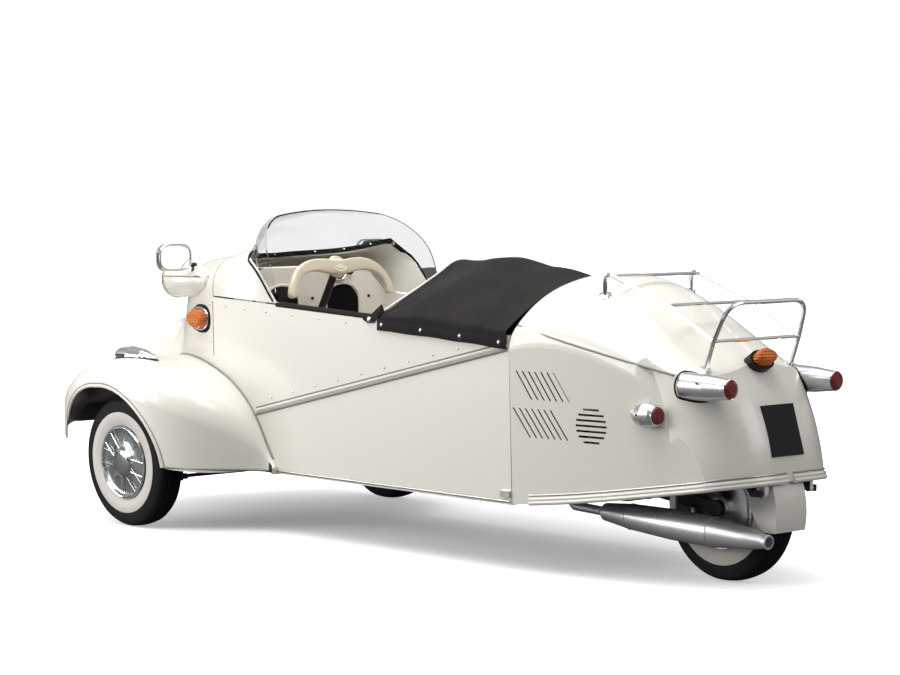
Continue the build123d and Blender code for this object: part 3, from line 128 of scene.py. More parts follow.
def height_in(tree, place):
    """How high a place is."""
    return put(tree, "ShaderNodeSeparateXYZ", place).outputs["Z"]


def new_finish(name, colour, rough, metal=0.0):
    """A material with its Principled shader, ready for colour and relief."""
    finish = bpy.data.materials.new(name)
    finish.use_nodes = True
    shader = finish.node_tree.nodes["Principled BSDF"]
    feed(shader, Base_Color=(*colour, 1.0), Roughness=rough, Metallic=metal)
    return finish, finish.node_tree, shader


def new_group(name, entries, exit_name, exit_kind):
    """An empty node group with named entries and one named way out."""
    tree = bpy.data.node_groups.new(name, "ShaderNodeTree")
    for label, kind, value in entries:
        socket = tree.interface.new_socket(name=label, in_out="INPUT", socket_type=kind)
        socket.default_value = value
    tree.interface.new_socket(name=exit_name, in_out="OUTPUT", socket_type=exit_kind)
    given = tree.nodes.new("NodeGroupInput").outputs
    wanted = tree.nodes.new("NodeGroupOutput").inputs[exit_name]
    return tree, given, wanted


print("helpers for nodes ready")

# %% [markdown]
# ### White all round
# The floor is white and keeps the soft shadow. Round the car it also carries a painted
# shadow, since it glows less to the camera there. The backdrop is the world itself: it
# shows white to the camera and through glass. Chrome sees dark and light bands instead, so
# that it reads as chrome, and the car is lit gently, mostly from above.

# %% World
world = bpy.data.worlds.new("studio")
bpy.context.scene.world = world
world.use_nodes = True
sky = world.node_tree
sky.nodes.clear()
ray = put(sky, "ShaderNodeLightPath").outputs
seen = worked(sky, "MAXIMUM", ray["Is Camera Ray"], ray["Is Transmission Ray"])
rise_of_ray = height_in(sky, own_place(sky, "Generated"))
bands = put(sky, "ShaderNodeValToRGB", rise_of_ray)
bands.color_ramp.elements[0].color = (0.07, 0.07, 0.08, 1.0)
bands.color_ramp.elements[1].color = (0.60, 0.60, 0.60, 1.0)
# Columns: how high the band is, its grey
SKY_BANDS = ((0.10, 0.10), (0.20, 0.75), (0.45, 0.35))
for band_place, grey in SKY_BANDS:
    bands.color_ramp.elements.new(band_place).color = (grey, grey, grey, 1.0)
overhead = ranged(sky, rise_of_ray, 0.08, 0.80)
mirrored = mixed(sky, ray["Is Diffuse Ray"], bands.outputs["Color"], overhead)
glow = put(sky, "ShaderNodeBackground", Strength=1.0, Color=mixed(sky, seen, mirrored, WHITE))
put(sky, "ShaderNodeOutputWorld", Surface=glow.outputs[0])
print("world seen white, with", len(SKY_BANDS), "bands in chrome")

# %% Floor
FLOOR_SIZE = 30.0
bpy.ops.object.select_all(action="DESELECT")
bpy.ops.mesh.primitive_plane_add(size=FLOOR_SIZE)
floor = bpy.context.object
floor.name = "studio_floor"
floor_finish, tree, shader = new_finish("floor_white", (0.92, 0.92, 0.92), 0.8)
watched = put(tree, "ShaderNodeLightPath").outputs["Is Camera Ray"]
# Painted shadow: the floor's glow to the camera falls from 1 far out to 0.22 near the car, so the floor round
# the car is darker whatever light reaches it.
round_the_car = put(tree, "ShaderNodeMapping", Scale=(0.82, 0.56, 0.0), Vector=own_place(tree))
away = put(tree, "ShaderNodeVectorMath", round_the_car.outputs["Vector"], operation="LENGTH")
fade = ranged(tree, away.outputs["Value"], 0.22, 1.0, From_Min=0.35, From_Max=1.25,
              interpolation_type="SMOOTHSTEP")
cloud = put(tree, "ShaderNodeTexNoise", Scale=0.6).outputs["Fac"]
floor_tone = mixed(tree, cloud, (0.90, 0.89, 0.885, 1.0), (0.93, 0.92, 0.915, 1.0))
FLOOR_IN_CHROME = (0.13, 0.13, 0.13, 1.0)
feed(shader, Base_Color=mixed(tree, watched, FLOOR_IN_CHROME, floor_tone), Emission_Color=WHITE,
     Emission_Strength=worked(tree, "MULTIPLY", watched, fade))
floor.data.materials.append(floor_finish)
print("floor of", FLOOR_SIZE, "m laid")


# %% Lamps
def soft_lamp(name, place, aim, size, watts):
    """A square studio lamp turned towards a point."""
    data = bpy.data.lights.new(name, "AREA")
    data.shape = "RECTANGLE"
    data.size, data.size_y = size
    data.energy = watts
    lamp = bpy.data.objects.new(name, data)
    lamp.location = place
    lamp.rotation_euler = (Vector(aim) - Vector(place)).to_track_quat("-Z", "Y").to_euler()
    bpy.context.collection.objects.link(lamp)


# Columns: name, place, aim, width and height, watts
LAMPS = [
    ("lamp_over", (1.0, -0.4, 4.6), (0.0, 0.0, 0.5), (4.4, 4.4), 180.0),
    ("lamp_side", (5.2, -1.8, 2.6), (0.0, -0.2, 0.5), (2.6, 2.2), 84.0),
    ("lamp_front", (3.9, -3.4, 0.95), (0.4, -0.9, 0.35), (2.0, 1.2), 84.0),
    ("lamp_cabin", (0.5, 0.9, 2.3), (0.0, -0.60, 0.70), (0.7, 0.7), 9.0),
    ("lamp_back", (-2.0, 5.0, 2.4), (0.0, 0.6, 0.5), (2.4, 1.8), 34.0),
]
for lamp_row in LAMPS:
    soft_lamp(*lamp_row)
print("studio ready,", len(LAMPS), "lamps")

# %% [markdown]
# ## Finishes
# Paint is never one flat colour. A little uneven gloss, faint ripples like orange peel and
# dust on the low parts make it read as sprayed metal. These effects are node groups, so
# that each material can use them with its own amounts.

# %% Shared effects
NUMBER, TONE, ARROW = "NodeSocketFloat", "NodeSocketColor", "NodeSocketVector"
DUST = (0.33, 0.30, 0.25, 1.0)


def uneven_group():
    """A number that wanders between two limits over the surface, as handled gloss does."""
    entries = [("Scale", NUMBER, 8.0), ("Low", NUMBER, 0.2), ("High", NUMBER, 0.3)]
    tree, given, wanted = new_group("uneven", entries, "Value", NUMBER)
    noise = noise_on(tree, own_place(tree), Detail=4.0, Roughness=0.6, Scale=given["Scale"])
    tree.links.new(ranged(tree, noise, given["Low"], given["High"], From_Min=0.3, From_Max=0.7), wanted)
    return tree


def ripple_group():
    """Shallow relief from noise, as a normal."""
    entries = [("Scale", NUMBER, 60.0), ("Strength", NUMBER, 0.1), ("Depth", NUMBER, 0.0005)]
    tree, given, wanted = new_group("ripple", entries, "Normal", ARROW)
    noise = noise_on(tree, own_place(tree), Detail=3.0, Scale=given["Scale"])
    tree.links.new(relief_from(tree, noise, given["Strength"], given["Depth"]), wanted)
    return tree


def dusty_group():
    """A colour dulled by road dust near the ground, in patches."""
    entries = [("Clean", TONE, (0.8, 0.8, 0.8, 1.0)), ("Dust", TONE, DUST), ("Top", NUMBER, 0.3),
               ("Amount", NUMBER, 0.3)]
    tree, given, wanted = new_group("dusty", entries, "Color", TONE)
    place = own_place(tree)
    low_down = ranged(tree, height_in(tree, place), 1.0, 0.0, From_Max=given["Top"])
    patch = worked(tree, "MULTIPLY", low_down, noise_on(tree, place, Scale=14.0, Detail=6.0))
    amount = worked(tree, "MULTIPLY", patch, given["Amount"])
    tree.links.new(mixed(tree, amount, given["Clean"], given["Dust"]), wanted)
    return tree


def inside_shade_group():
    """One inside a shell and nothing outside: which way a face looks, seen from a middle point. It marks the
    faces that get painted shade.
    """
    entries = [("Middle", ARROW, (0.0, 0.0, 0.0)), ("Top", NUMBER, 9.0)]
    tree, given, wanted = new_group("inside_shade", entries, "Mask", NUMBER)
    coordinates = put(tree, "ShaderNodeTexCoord").outputs
    reach = put(tree, "ShaderNodeVectorMath", coordinates["Object"], given["Middle"], operation="SUBTRACT")
    facing = put(tree, "ShaderNodeVectorMath", coordinates["Normal"], reach.outputs["Vector"],
                 operation="DOT_PRODUCT")
    inward = worked(tree, "LESS_THAN", facing.outputs["Value"], -0.02)
    below = worked(tree, "LESS_THAN", height_in(tree, coordinates["Object"]), given["Top"])
    tree.links.new(worked(tree, "MULTIPLY", inward, below), wanted)
    return tree


EFFECTS = {"uneven": uneven_group(), "ripple": ripple_group(),
           "dusty": dusty_group(), "inside_shade": inside_shade_group()}


def effect(tree, name, **values):
    """Place one shared effect in a material with its own amounts, and give what comes out of it."""
    node = tree.nodes.new("ShaderNodeGroup")
    node.node_tree = EFFECTS[name]
    feed(node, **values)
    return node.outputs[0]


print("shared effects:", ", ".join(EFFECTS))

# %% Paint, metal and plastic
COAT_ROUGH = 0.10


def coated(name, colour, rough, metal=0.0, spread=0.06, ripple=(60.0, 0.06), dust=(0.3, 0.3), coat=0.0,
           glint=0.5, patches=7.0):
    """A finish with wandering gloss, shallow ripples and dust low down."""
    finish, tree, shader = new_finish(name, colour, rough, metal)
    feed(shader,
         Roughness=effect(tree, "uneven", Scale=patches, Low=rough, High=rough + spread),
         Normal=effect(tree, "ripple", Scale=ripple[0], Strength=ripple[1]),
         Base_Color=effect(tree, "dusty", Clean=(*colour, 1.0), Top=dust[0], Amount=dust[1]),
         Coat_Weight=coat, Coat_Roughness=COAT_ROUGH, Specular_IOR_Level=glint)
    return finish


CREAM = (0.80, 0.775, 0.700)
CREAM_COAT = 0.5


def cream(name):
    """The car's cream paint."""
    return coated(name, CREAM, 0.28, 0.0, 0.02, (9.0, 0.004), (0.34, 0.05), CREAM_COAT, patches=1.5)


cream_paint = cream("cream_paint")
inner_paint = coated("inner_paint", (0.86, 0.80, 0.71), 0.42, ripple=(120.0, 0.05))
chrome = coated("chrome", (0.86, 0.86, 0.85), 0.05, 1.0, 0.07, (30.0, 0.02), (0.3, 0.12))
bright_strip = coated("bright_strip", (0.46, 0.46, 0.44), 0.26, 1.0, 0.12, (160.0, 0.05))
disc_chrome = coated("disc_chrome", (0.40, 0.42, 0.43), 0.12, 1.0, 0.16, (60.0, 0.25), (0.3, 0.2),
                     patches=30.0)
satin_metal = coated("satin_metal", (0.60, 0.61, 0.62), 0.24, 1.0, 0.10, (80.0, 0.05), (0.3, 0.2))
grey_bead = coated("grey_bead", (0.26, 0.26, 0.24), 0.42, ripple=(160.0, 0.1))
black_steel = coated("black_steel", (0.012, 0.012, 0.013), 0.38, dust=(0.35, 0.5), ripple=(120.0, 0.2),
                     glint=0.3)
black_plastic = coated("black_plastic", (0.010, 0.010, 0.010), 0.34, ripple=(220.0, 0.15), glint=0.25)
black_rubber = coated("black_rubber", (0.010, 0.010, 0.010), 0.55, ripple=(180.0, 0.25), glint=0.15)
yoke_cream = coated("yoke_cream", (0.76, 0.66, 0.50), 0.30, ripple=(40.0, 0.05), coat=0.3)
cast_metal = coated("cast_metal", (0.36, 0.36, 0.36), 0.5, 0.9, 0.15, (240.0, 0.5), (0.5, 0.4))
plate_black = coated("plate_black", (0.008, 0.008, 0.008), 0.35, ripple=(25.0, 0.04), glint=0.12)
white_wall = coated("white_wall", (0.66, 0.625, 0.575), 0.5, ripple=(160.0, 0.12), dust=(0.16, 0.4),
                    glint=0.3)
mirror_glass = coated("mirror_glass", (0.92, 0.93, 0.93), 0.02, 1.0, 0.02, (6.0, 0.004), (0.0, 0.0))
white_piping = coated("white_piping", (0.84, 0.82, 0.78), 0.5, ripple=(300.0, 0.2))
snap_steel = coated("snap_steel", (0.70, 0.69, 0.66), 0.16, 1.0, 0.12, (60.0, 0.05))
dial_white = coated("dial_white", (0.72, 0.72, 0.68), 0.35, ripple=(90.0, 0.05))
road_rubber = coated("road_rubber", (0.007, 0.007, 0.008), 0.6, ripple=(140.0, 0.3), dust=(0.12, 0.08),
                     glint=0.15)
print("plain finishes made")

# %% Painted shells, with painted shade inside
INSIDE_SHADE = (0.028, 0.026, 0.025, 1.0)
ABOVE_ALL = 9.0


def paint_with_inside_shade(name, middle, top=ABOVE_ALL):
    """Cream paint outside, and dull dark grey painted shade on the faces inside."""
    finish = cream(name)
    tree = finish.node_tree
    shader = tree.nodes["Principled BSDF"]
    outside = shader.inputs["Base Color"].links[0].from_socket
    mask = effect(tree, "inside_shade", Middle=middle, Top=top)
    feed(shader, Base_Color=mixed(tree, mask, outside, INSIDE_SHADE),
         Coat_Weight=ranged(tree, mask, CREAM_COAT, 0.0))
    return finish


# The inside faces of the wings, the rear mudguard, the tail and the nose are darkened as painted shade: the
# undersides of the arches, and the nose seen through the foot arches.
wing_paint_left = paint_with_inside_shade("wing_paint_left", (0.40, -0.85, 0.20))
wing_paint_right = paint_with_inside_shade("wing_paint_right", (-0.40, -0.85, 0.20))
guard_paint = paint_with_inside_shade("guard_paint", (0.0, 1.162, 0.203))
tail_paint = paint_with_inside_shade("tail_paint", (0.0, 0.90, 0.42))
nose_paint = paint_with_inside_shade("nose_paint", (0.0, -0.85, 0.45), 0.735)
print("inside_shaded paints made")


# %% Glass and lenses
def toned(colour, share):
    """A colour made darker or lighter."""
    return (*(part * share for part in colour), 1.0)


def ribbed_glass(name, colour, through, rough, ribs=0.0, scale=180.0, axis="X", bend=1.49):
    """Clear or coloured glass, with moulded ribs when asked."""
    finish, tree, shader = new_finish(name, colour, rough)
    place = own_place(tree)
    tone = mixed(tree, noise_on(tree, place, Scale=9.0), toned(colour, 1.0), toned(colour, 0.9))
    feed(shader, Transmission_Weight=through, IOR=bend, Base_Color=tone)
    if ribs:
        wave = put(tree, "ShaderNodeTexWave", bands_direction=axis, Scale=scale, Vector=place)
        feed(shader, Normal=relief_from(tree, wave.outputs["Fac"], ribs, 0.002))
    return finish


clear_screen = ribbed_glass("clear_screen", (0.915, 0.916, 0.925), 1.0, 0.01, bend=1.05)
clear_lens = ribbed_glass("clear_lens", (0.92, 0.93, 0.93), 0.85, 0.04, 0.6, 90.0)
red_lens = ribbed_glass("red_lens", (0.30, 0.008, 0.010), 0.25, 0.12, 0.7, 110.0, "DIAGONAL")
amber_lens = ribbed_glass("amber_lens", (0.85, 0.20, 0.015), 0.3, 0.12, 0.9, 42.0, "Z")
print("glass made")

# %% [markdown]
# ### Steel, vinyl and canvas
# The silencer is brushed lengthways, so its noise is squeezed one way. The seat's vinyl has
# the pebbles of a cell pattern, and the canvas has threads from two crossing waves.

# %% Brushed silencer, seat covering and cover cloth
FINE_DEPTH = 0.0006


def brushed(name, colour, stretch):
    """Metal with fine lines drawn one way."""
    finish, tree, shader = new_finish(name, colour, 0.3, 0.75)
    squeezed = put(tree, "ShaderNodeMapping", Scale=stretch, Vector=own_place(tree))
    lines = noise_on(tree, squeezed.outputs["Vector"], Scale=40.0, Detail=5.0)
    heat = effect(tree, "dusty", Clean=(*colour, 1.0), Dust=(0.30, 0.27, 0.24, 1.0), Top=0.5, Amount=0.35)
    feed(shader, Roughness=ranged(tree, lines, 0.30, 0.50), Normal=relief_from(tree, lines, 0.12, 0.0005),
         Base_Color=heat)
    return finish


def grained(name, colour, scale):
    """Vinyl with a pebbled grain."""
    finish, tree, shader = new_finish(name, colour, 0.42)
    cells = put(tree, "ShaderNodeTexVoronoi", Scale=scale, Vector=own_place(tree)).outputs["Distance"]
    feed(shader, Normal=relief_from(tree, cells, 0.35, FINE_DEPTH),
         Roughness=effect(tree, "uneven", Scale=5.0, Low=0.34, High=0.5),
         Base_Color=mixed(tree, cells, toned(colour, 0.7), toned(colour, 1.0)))
    return finish


def woven(name, colour, threads):
    """Coated canvas: crossing threads, a dull sheen and faded patches."""
    finish, tree, shader = new_finish(name, colour, 0.78)
    place = own_place(tree)
    warp, weft = (put(tree, "ShaderNodeTexWave", bands_direction=way, Scale=threads,
                      Vector=place).outputs["Fac"] for way in "XY")
    faded = effect(tree, "uneven", Scale=6.0, Low=0.0, High=1.0)
    feed(shader, Normal=relief_from(tree, worked(tree, "MAXIMUM", warp, weft), 0.35, FINE_DEPTH),
         Base_Color=mixed(tree, faded, toned(colour, 0.8), toned(colour, 1.35)),
         Specular_IOR_Level=0.12, Sheen_Weight=0.02, Sheen_Roughness=0.5)
    return finish


silencer_steel = brushed("silencer_steel", (0.70, 0.71, 0.73), (1.0, 14.0, 1.0))
seat_vinyl = grained("seat_vinyl", (0.055, 0.050, 0.048), 260.0)
cover_cloth = woven("cover_cloth", (0.017, 0.0150, 0.0145), 160.0)
print("all finishes made")

# %% Dress the carried-over pieces
DRESS = {
    cream_paint: ("lower_hull", "side_panel_left", "side_panel_right", "cowl", "headlamp_pods"),
    nose_paint: ("nose_shell",),
    wing_paint_left: ("fender_left",),
    wing_paint_right: ("fender_right",),
    guard_paint: ("rear_mudguard",),
    tail_paint: ("tail_shell",),
    inner_paint: ("dashboard", "seat_base"),
    chrome: ("headlamp_rims", "mirrors", "indicator_bases", "fender_lamps", "luggage_rack", "tail_latches",
             "wheel_front_left", "wheel_front_right"),
    satin_metal: ("rear_lamps", "wheel_rear"),
    clear_screen: ("windscreen",),
    clear_lens: ("headlamp_lenses",),
    red_lens: ("rear_lamp_lenses",),
    amber_lens: ("indicator_lenses", "beacon_lamp"),
    black_steel: ("rear_frame", "swing_arm", "suspension_arms", "knuckle_left", "knuckle_right", "track_rod",
                  "steering_column"),
    black_plastic: ("beacon_base", "speedometer"),
    yoke_cream: ("handlebar",),
    cast_metal: ("engine_block",),
    silencer_steel: ("silencer",),
    plate_black: ("number_plate",),
    road_rubber: ("tyre_front_left", "tyre_front_right", "tyre_rear"),
    seat_vinyl: ("seat_pads",),
    cover_cloth: ("tonneau_cover",),
}


def dress(piece, finish):
    """Give a whole piece one finish."""
    piece.data.materials.clear()
    piece.data.materials.append(finish)


for finish, names in DRESS.items():
    for name in names:
        dress(parts[name], finish)
print("dressed", sum(len(names) for names in DRESS.values()), "pieces")


# %% [markdown]
# ## Drawing a line of points
# Most trim on the car is a bead or strip that follows a pressed edge. By hand one would
# take a single vertex and extrude it from point to point. The same is done here, and the
# line then gets a round section through a curve's bevel.

# %% Hold, edit and leave a piece
SHARP_FROM = math.radians(32.0)
MERGE_WITHIN = 0.00005


def pick(piece):
    """Deselect everything else and hold one piece."""
    bpy.ops.object.select_all(action="DESELECT")
    piece.select_set(True)
    bpy.context.view_layer.objects.active = piece


def edit(select=None, mode=None):
    """Go into edit mode, and select all or nothing when asked."""
    bpy.ops.object.mode_set(mode="EDIT")
    if mode:
        bpy.ops.mesh.select_mode(type=mode)
    if select:
        bpy.ops.mesh.select_all(action=select)


def leave():
    """Back to object mode."""
    bpy.ops.object.mode_set(mode="OBJECT")


print("edges over", round(math.degrees(SHARP_FROM)), "degrees stay sharp")


# %% Line, bead and ribbon
def trace(name, points, closed=False):
    """One vertex extruded through points."""
    bpy.ops.object.select_all(action="DESELECT")
    bpy.ops.mesh.primitive_plane_add(size=0.01)
    piece = bpy.context.object
    piece.name = name
    edit()
    bpy.ops.mesh.merge(type="CENTER")
    bpy.ops.transform.translate(value=points[0])
    for start, end in zip(points, points[1:]):
        step = Vector(end) - Vector(start)
        bpy.ops.mesh.extrude_region_move(TRANSFORM_OT_translate={"value": step})
    if closed:
        bpy.ops.mesh.select_all(action="SELECT")
        bpy.ops.mesh.remove_doubles(threshold=2 * MERGE_WITHIN)
    leave()
    return piece


def tidy(piece):
    """Merge what touches and turn the faces outwards."""
    pick(piece)
    edit("SELECT")
    bpy.ops.mesh.remove_doubles(threshold=MERGE_WITHIN)
    bpy.ops.mesh.normals_make_consistent(inside=False)
    leave()
    return piece


def finished(piece, finish, body):
    """Settle a piece: place in the mesh, smooth, dressed, riding on its body."""
    pick(piece)
    bpy.ops.object.transform_apply(location=True, rotation=True, scale=True)
    bpy.ops.object.shade_smooth_by_angle(angle=SHARP_FROM)
    if finish is not None:
        dress(piece, finish)
    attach(piece, body)
    return piece


def apply_all(piece):
    """Apply each modifier in order."""
    pick(piece)
    for modifier in list(piece.modifiers):
        bpy.ops.object.modifier_apply(modifier=modifier.name)


def bead(name, points, radius, curved=True, closed=False):
    """A round bead along a line of points."""
    piece = trace(name, points, closed)
    bpy.ops.object.convert(target="CURVE")
    curve = piece.data
    if curved:
        edit()
        bpy.ops.curve.select_all(action="SELECT")
        bpy.ops.curve.spline_type_set(type="NURBS")
        leave()
        for spline in curve.splines:
            spline.use_endpoint_u = not closed
            spline.order_u = 3
            spline.resolution_u = 6
    curve.bevel_depth = radius
    curve.bevel_resolution = 3
    curve.use_fill_caps = True
    bpy.ops.object.convert(target="MESH")
    return tidy(bpy.context.object)


def ribbon(name, points, across, thickness):
    """A flat strip: a line pulled sideways and given a thickness."""
    piece = trace(name, points)
    edit("SELECT")
    bpy.ops.mesh.extrude_region_move(TRANSFORM_OT_translate={"value": across})
    leave()
    tidy(piece)
    wall = piece.modifiers.new("wall", "SOLIDIFY")
    wall.thickness = thickness
    wall.offset = 0.0
    soft = piece.modifiers.new("soft", "BEVEL")
    soft.width = thickness * 0.3
    soft.segments = 2
    apply_all(piece)
    return piece


def both_sides(piece):
    """The same piece again on the car's right side."""
    copy = piece.modifiers.new("other side", "MIRROR")
    copy.use_mirror_merge = False
    apply_all(piece)
    return piece


def trim(name, points, radius, finish, slot="black_plastic", body="body", **how):
    """A bead on both sides of the car, finished and riding on its body."""
    return finished(both_sides(bead(name, points, radius, **how)), finish, body)


def joined(name, pieces):
    """Several pieces as one."""
    bpy.ops.object.select_all(action="DESELECT")
    for piece in pieces:
        piece.select_set(True)
    bpy.context.view_layer.objects.active = pieces[0]
    if len(pieces) > 1:
        bpy.ops.object.join()
    pieces[0].name = name
    return pieces[0]


print("helpers for beads ready")

# %% Feel for the surface
INWARD, DOWN = (-1.0, 0.0, 0.0), (0.0, 0.0, -1.0)
BESIDE = 0.9


def touch(name, start, way):
    """Where a straight line first meets a body piece, and its outward direction, or nothing."""
    piece = parts[name]
    inverse = piece.matrix_world.inverted()
    origin = inverse @ Vector(start)
    direction = (inverse.to_3x3() @ Vector(way)).normalized()
    hit, place, normal, _ = piece.ray_cast(origin, direction)
    if not hit:
        return None, None
    place = piece.matrix_world @ place
    normal = (piece.matrix_world.to_3x3() @ normal).normalized()
    return place, normal


def side_places(node, rows):
    """Places and normals on a piece's left face, under a list of (y, z) pairs."""
    met = [touch(node, (BESIDE, y, z), INWARD) for y, z in rows]
    return [pair for pair in met if pair[0] is not None]


def along_side(node, rows, lift=0.0):
    """Points lifted a little off a piece's left face."""
    return [place + normal * lift for place, normal in side_places(node, rows)]


print("rays from the left start at x", BESIDE)

# %% [markdown]
# ## Tyres
# A real tyre of this car has a whitewall band and a ribbed tread cut by cross slots. The
# section is traced once and spun round the axle. The cross slots come from pushing every
# third face of the outer ribs inwards, and every sixth of the inner ones.

# %% Tyre section
# Columns: place along the axle, radius
TYRE_SECTION = [
    (0.0355, 0.1045), (0.0362, 0.1150), (0.0400, 0.1160), (0.0452, 0.1290), (0.0468, 0.1410),
    (0.0468, 0.1500), (0.0462, 0.1575), (0.0470, 0.1590), (0.0462, 0.1680), (0.0440, 0.1780),
    (0.0412, 0.1880), (0.0380, 0.1938), (0.0300, 0.1990), (0.0220, 0.2006), (0.0214, 0.1968),
    (0.0186, 0.1968), (0.0180, 0.2012), (0.0070, 0.2024), (0.0064, 0.1984), (0.0036, 0.1984),
    (0.0030, 0.2025),
]
TYRE_SECTION = TYRE_SECTION + [(-x, r) for x, r in reversed(TYRE_SECTION)]
TYRE_STEPS = 120
SLOT_DEPTH = 0.0032
# Columns: from and to beside the tread's middle, from which radius
OUTER_RIBS, INNER_RIBS = (0.022, 0.0405, 0.1925), (0.008, 0.018, 0.2)
WALL_BESIDE, WALL_LOW, WALL_HIGH = 0.036, 0.1165, 0.1575
# Columns: centre x, y, z, lean in degrees, side, body
WHEELS = {
    "front_left": (0.53262, -0.846, 0.20289, 3.0, 1, "left_front_wheel"),
    "front_right": (-0.53262, -0.846, 0.20289, -3.0, -1, "right_front_wheel"),
    "rear": (0.0, 1.162, 0.203, 0.0, 1, "back_wheel"),
}


def wheel_axes(lean, side):
    """The axle's direction and the upward one square to it."""
    lean = math.radians(lean)
    axle = Vector((math.cos(lean), 0.0, -math.sin(lean))) * side
    rise = Vector((math.sin(lean), 0.0, math.cos(lean)))
    return axle, rise


def spun(name, section, centre, axle, rise, steps, closed=True):
    """A section of (along, radius) pairs spun round an axle."""
    points = [centre + axle * along + rise * radius for along, radius in section]
    if closed:
        points.append(points[0])
    piece = trace(name, points, closed)
    edit("SELECT")
    bpy.ops.mesh.spin(steps=steps, angle=math.tau, center=centre, axis=axle)
    leave()
    return tidy(piece)


def face_place(face, centre, axle):
    """Where a face lies on a wheel: along the axle, out from it, and round it."""
    offset = face.center - centre
    along = offset.dot(axle)
    out = offset - axle * along
    return along, out.length, math.atan2(out.z, out.y)


def on_ribs(ribs, along, out):
    """Whether a face lies on a pair of tread ribs."""
    near, far, low = ribs
    return near < abs(along) < far and out > low


def push_faces(depth):
    """Push the selected faces out, or in when the depth is below nothing."""
    edit(mode="FACE")
    bpy.ops.mesh.extrude_region_shrink_fatten(TRANSFORM_OT_shrink_fatten={"value": depth})
    bpy.ops.mesh.select_mode(type="VERT")
    leave()


def make_tyre(name, x, y, z, lean, side, body):
    """One tyre with tread slots and a whitewall."""
    centre = Vector((x, y, z))
    axle, rise = wheel_axes(lean, side)
    piece = spun("tyre_rubber_" + name, TYRE_SECTION, centre, axle, rise, TYRE_STEPS)
    dress(piece, road_rubber)
    piece.data.materials.append(white_wall)
    for face in piece.data.polygons:
        along, out, turn = face_place(face, centre, axle)
        step = round(turn / math.tau * TYRE_STEPS)
        outer, inner = (on_ribs(ribs, along, out) for ribs in (OUTER_RIBS, INNER_RIBS))
        face.select = (outer and step % 3 == 0) or (inner and step % 6 == 0)
        if WALL_LOW < out < WALL_HIGH and abs(along) > WALL_BESIDE:
            face.material_index = 1
    push_faces(-SLOT_DEPTH)
    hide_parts("tyre_" + name)
    return finished(piece, None, body)


tyres = [make_tyre(name, *place) for name, place in WHEELS.items()]
print("tyres:", [len(tyre.data.polygons) for tyre in tyres], "faces")

# %% [markdown]
# ## Wheel covers
# Each cover is a thin chrome dish with fine ribs near its rim and a raised centre. The dish
# is spun like the tyre, then every third face of a ring is drawn out a little.

# %% Covers
COVER_SECTION = [
    (0.0420, 0.1128), (0.0440, 0.1120), (0.0436, 0.1080), (0.0400, 0.1040), (0.0368, 0.0990),
    (0.0362, 0.0900), (0.0360, 0.0760), (0.0372, 0.0600), (0.0410, 0.0500), (0.0425, 0.0460),
    (0.0470, 0.0420), (0.0500, 0.0330), (0.0512, 0.0200), (0.0516, 0.0080), (0.0516, 0.0),
]
COVER_STEPS = 96
RIB_HEIGHT, COVER_SHEET = 0.0022, 0.0008
RIBS_FROM, RIBS_TO = 0.062, 0.098


def make_cover(name, x, y, z, lean, side, body):
    """A ribbed chrome dish over the wheel."""
    centre = Vector((x, y, z))
    axle, rise = wheel_axes(lean, side)
    piece = spun("wheel_cover_" + name, COVER_SECTION, centre, axle, rise, COVER_STEPS, False)
    for face in piece.data.polygons:
        along, out, turn = face_place(face, centre, axle)
        step = round(turn / math.tau * COVER_STEPS)
        face.select = RIBS_FROM < out < RIBS_TO and step % 3 == 0
    push_faces(RIB_HEIGHT * side)
    wall = piece.modifiers.new("wall", "SOLIDIFY")
    wall.thickness = COVER_SHEET
    apply_all(piece)
    tidy(piece)
    return finished(piece, disc_chrome if y < 0.0 else satin_metal, body)


covers = [make_cover(name, *place) for name, place in WHEELS.items()]
print("wheel covers:", len(covers))

# %% [markdown]
# ## Beads and mouldings
# Grey rubber beads sit in the joints of the wings. A bright double moulding runs up the
# side, and silver strips edge the floor. The surface under each point is felt for with a
# ray, so the trim follows the pressed shape.

# %% Wing beads
# Three points of each pressed arc. Columns: y, z
ARCH_FRONT = [(-1.150, 0.280), (-1.082, 0.386), (-0.950, 0.430)]
ARCH_REAR = [(-0.950, 0.430), (-0.738, 0.366), (-0.646, 0.200)]


def circle_through(a, b, c):
    """Middle and radius of the circle through three points in a plane."""
    ax, az, bx, bz, cx, cz = *a, *b, *c
    turn = 2 * (ax * (bz - cz) + bx * (cz - az) + cx * (az - bz))
    a2, b2, c2 = ax * ax + az * az, bx * bx + bz * bz, cx * cx + cz * cz
    across = (a2 * (bz - cz) + b2 * (cz - az) + c2 * (az - bz)) / turn
    up = (a2 * (cx - bx) + b2 * (ax - cx) + c2 * (bx - ax)) / turn
    return across, up, math.hypot(ax - across, az - up)


def arc_through(first, second, third, out, count):
    """Points (y, z) on the arc through three points, moved outwards."""
    mid_y, mid_z, radius = circle_through(first, second, third)
    low, high = (math.atan2(z - mid_z, y - mid_y) % math.tau for y, z in (first, third))
    turns = [low + (high - low) * i / (count - 1) for i in range(count)]
    return [(mid_y + (radius + out) * math.cos(t), mid_z + (radius + out) * math.sin(t)) for t in turns]


def arch_line(out, lift):
    """Line on the wing's skin just outside the wheel arch."""
    rows = arc_through(*ARCH_FRONT, out, 9)[1:-1] + arc_through(*ARCH_REAR, out, 16)
    return along_side("fender_left", rows, lift)


trim("arch_lip", arch_line(0.0045, -0.0022), 0.0046, cream_paint, "paint")
trim("arch_bead", arch_line(0.0125, -0.0004), 0.0022, grey_bead)
WING_FOOT = [(-0.640, 0.203), (-0.600, 0.200), (-0.540, 0.197), (-0.480, 0.194), (-0.430, 0.191)]
trim("wing_foot_bead", along_side("fender_left", WING_FOOT), 0.0040, grey_bead)


NOSE_END = -0.705
JOINT_GUESS, JOINT_TRIES = 0.45, 12
OFF_THE_SIDE, OFF_THE_WING = 0.002, 0.001


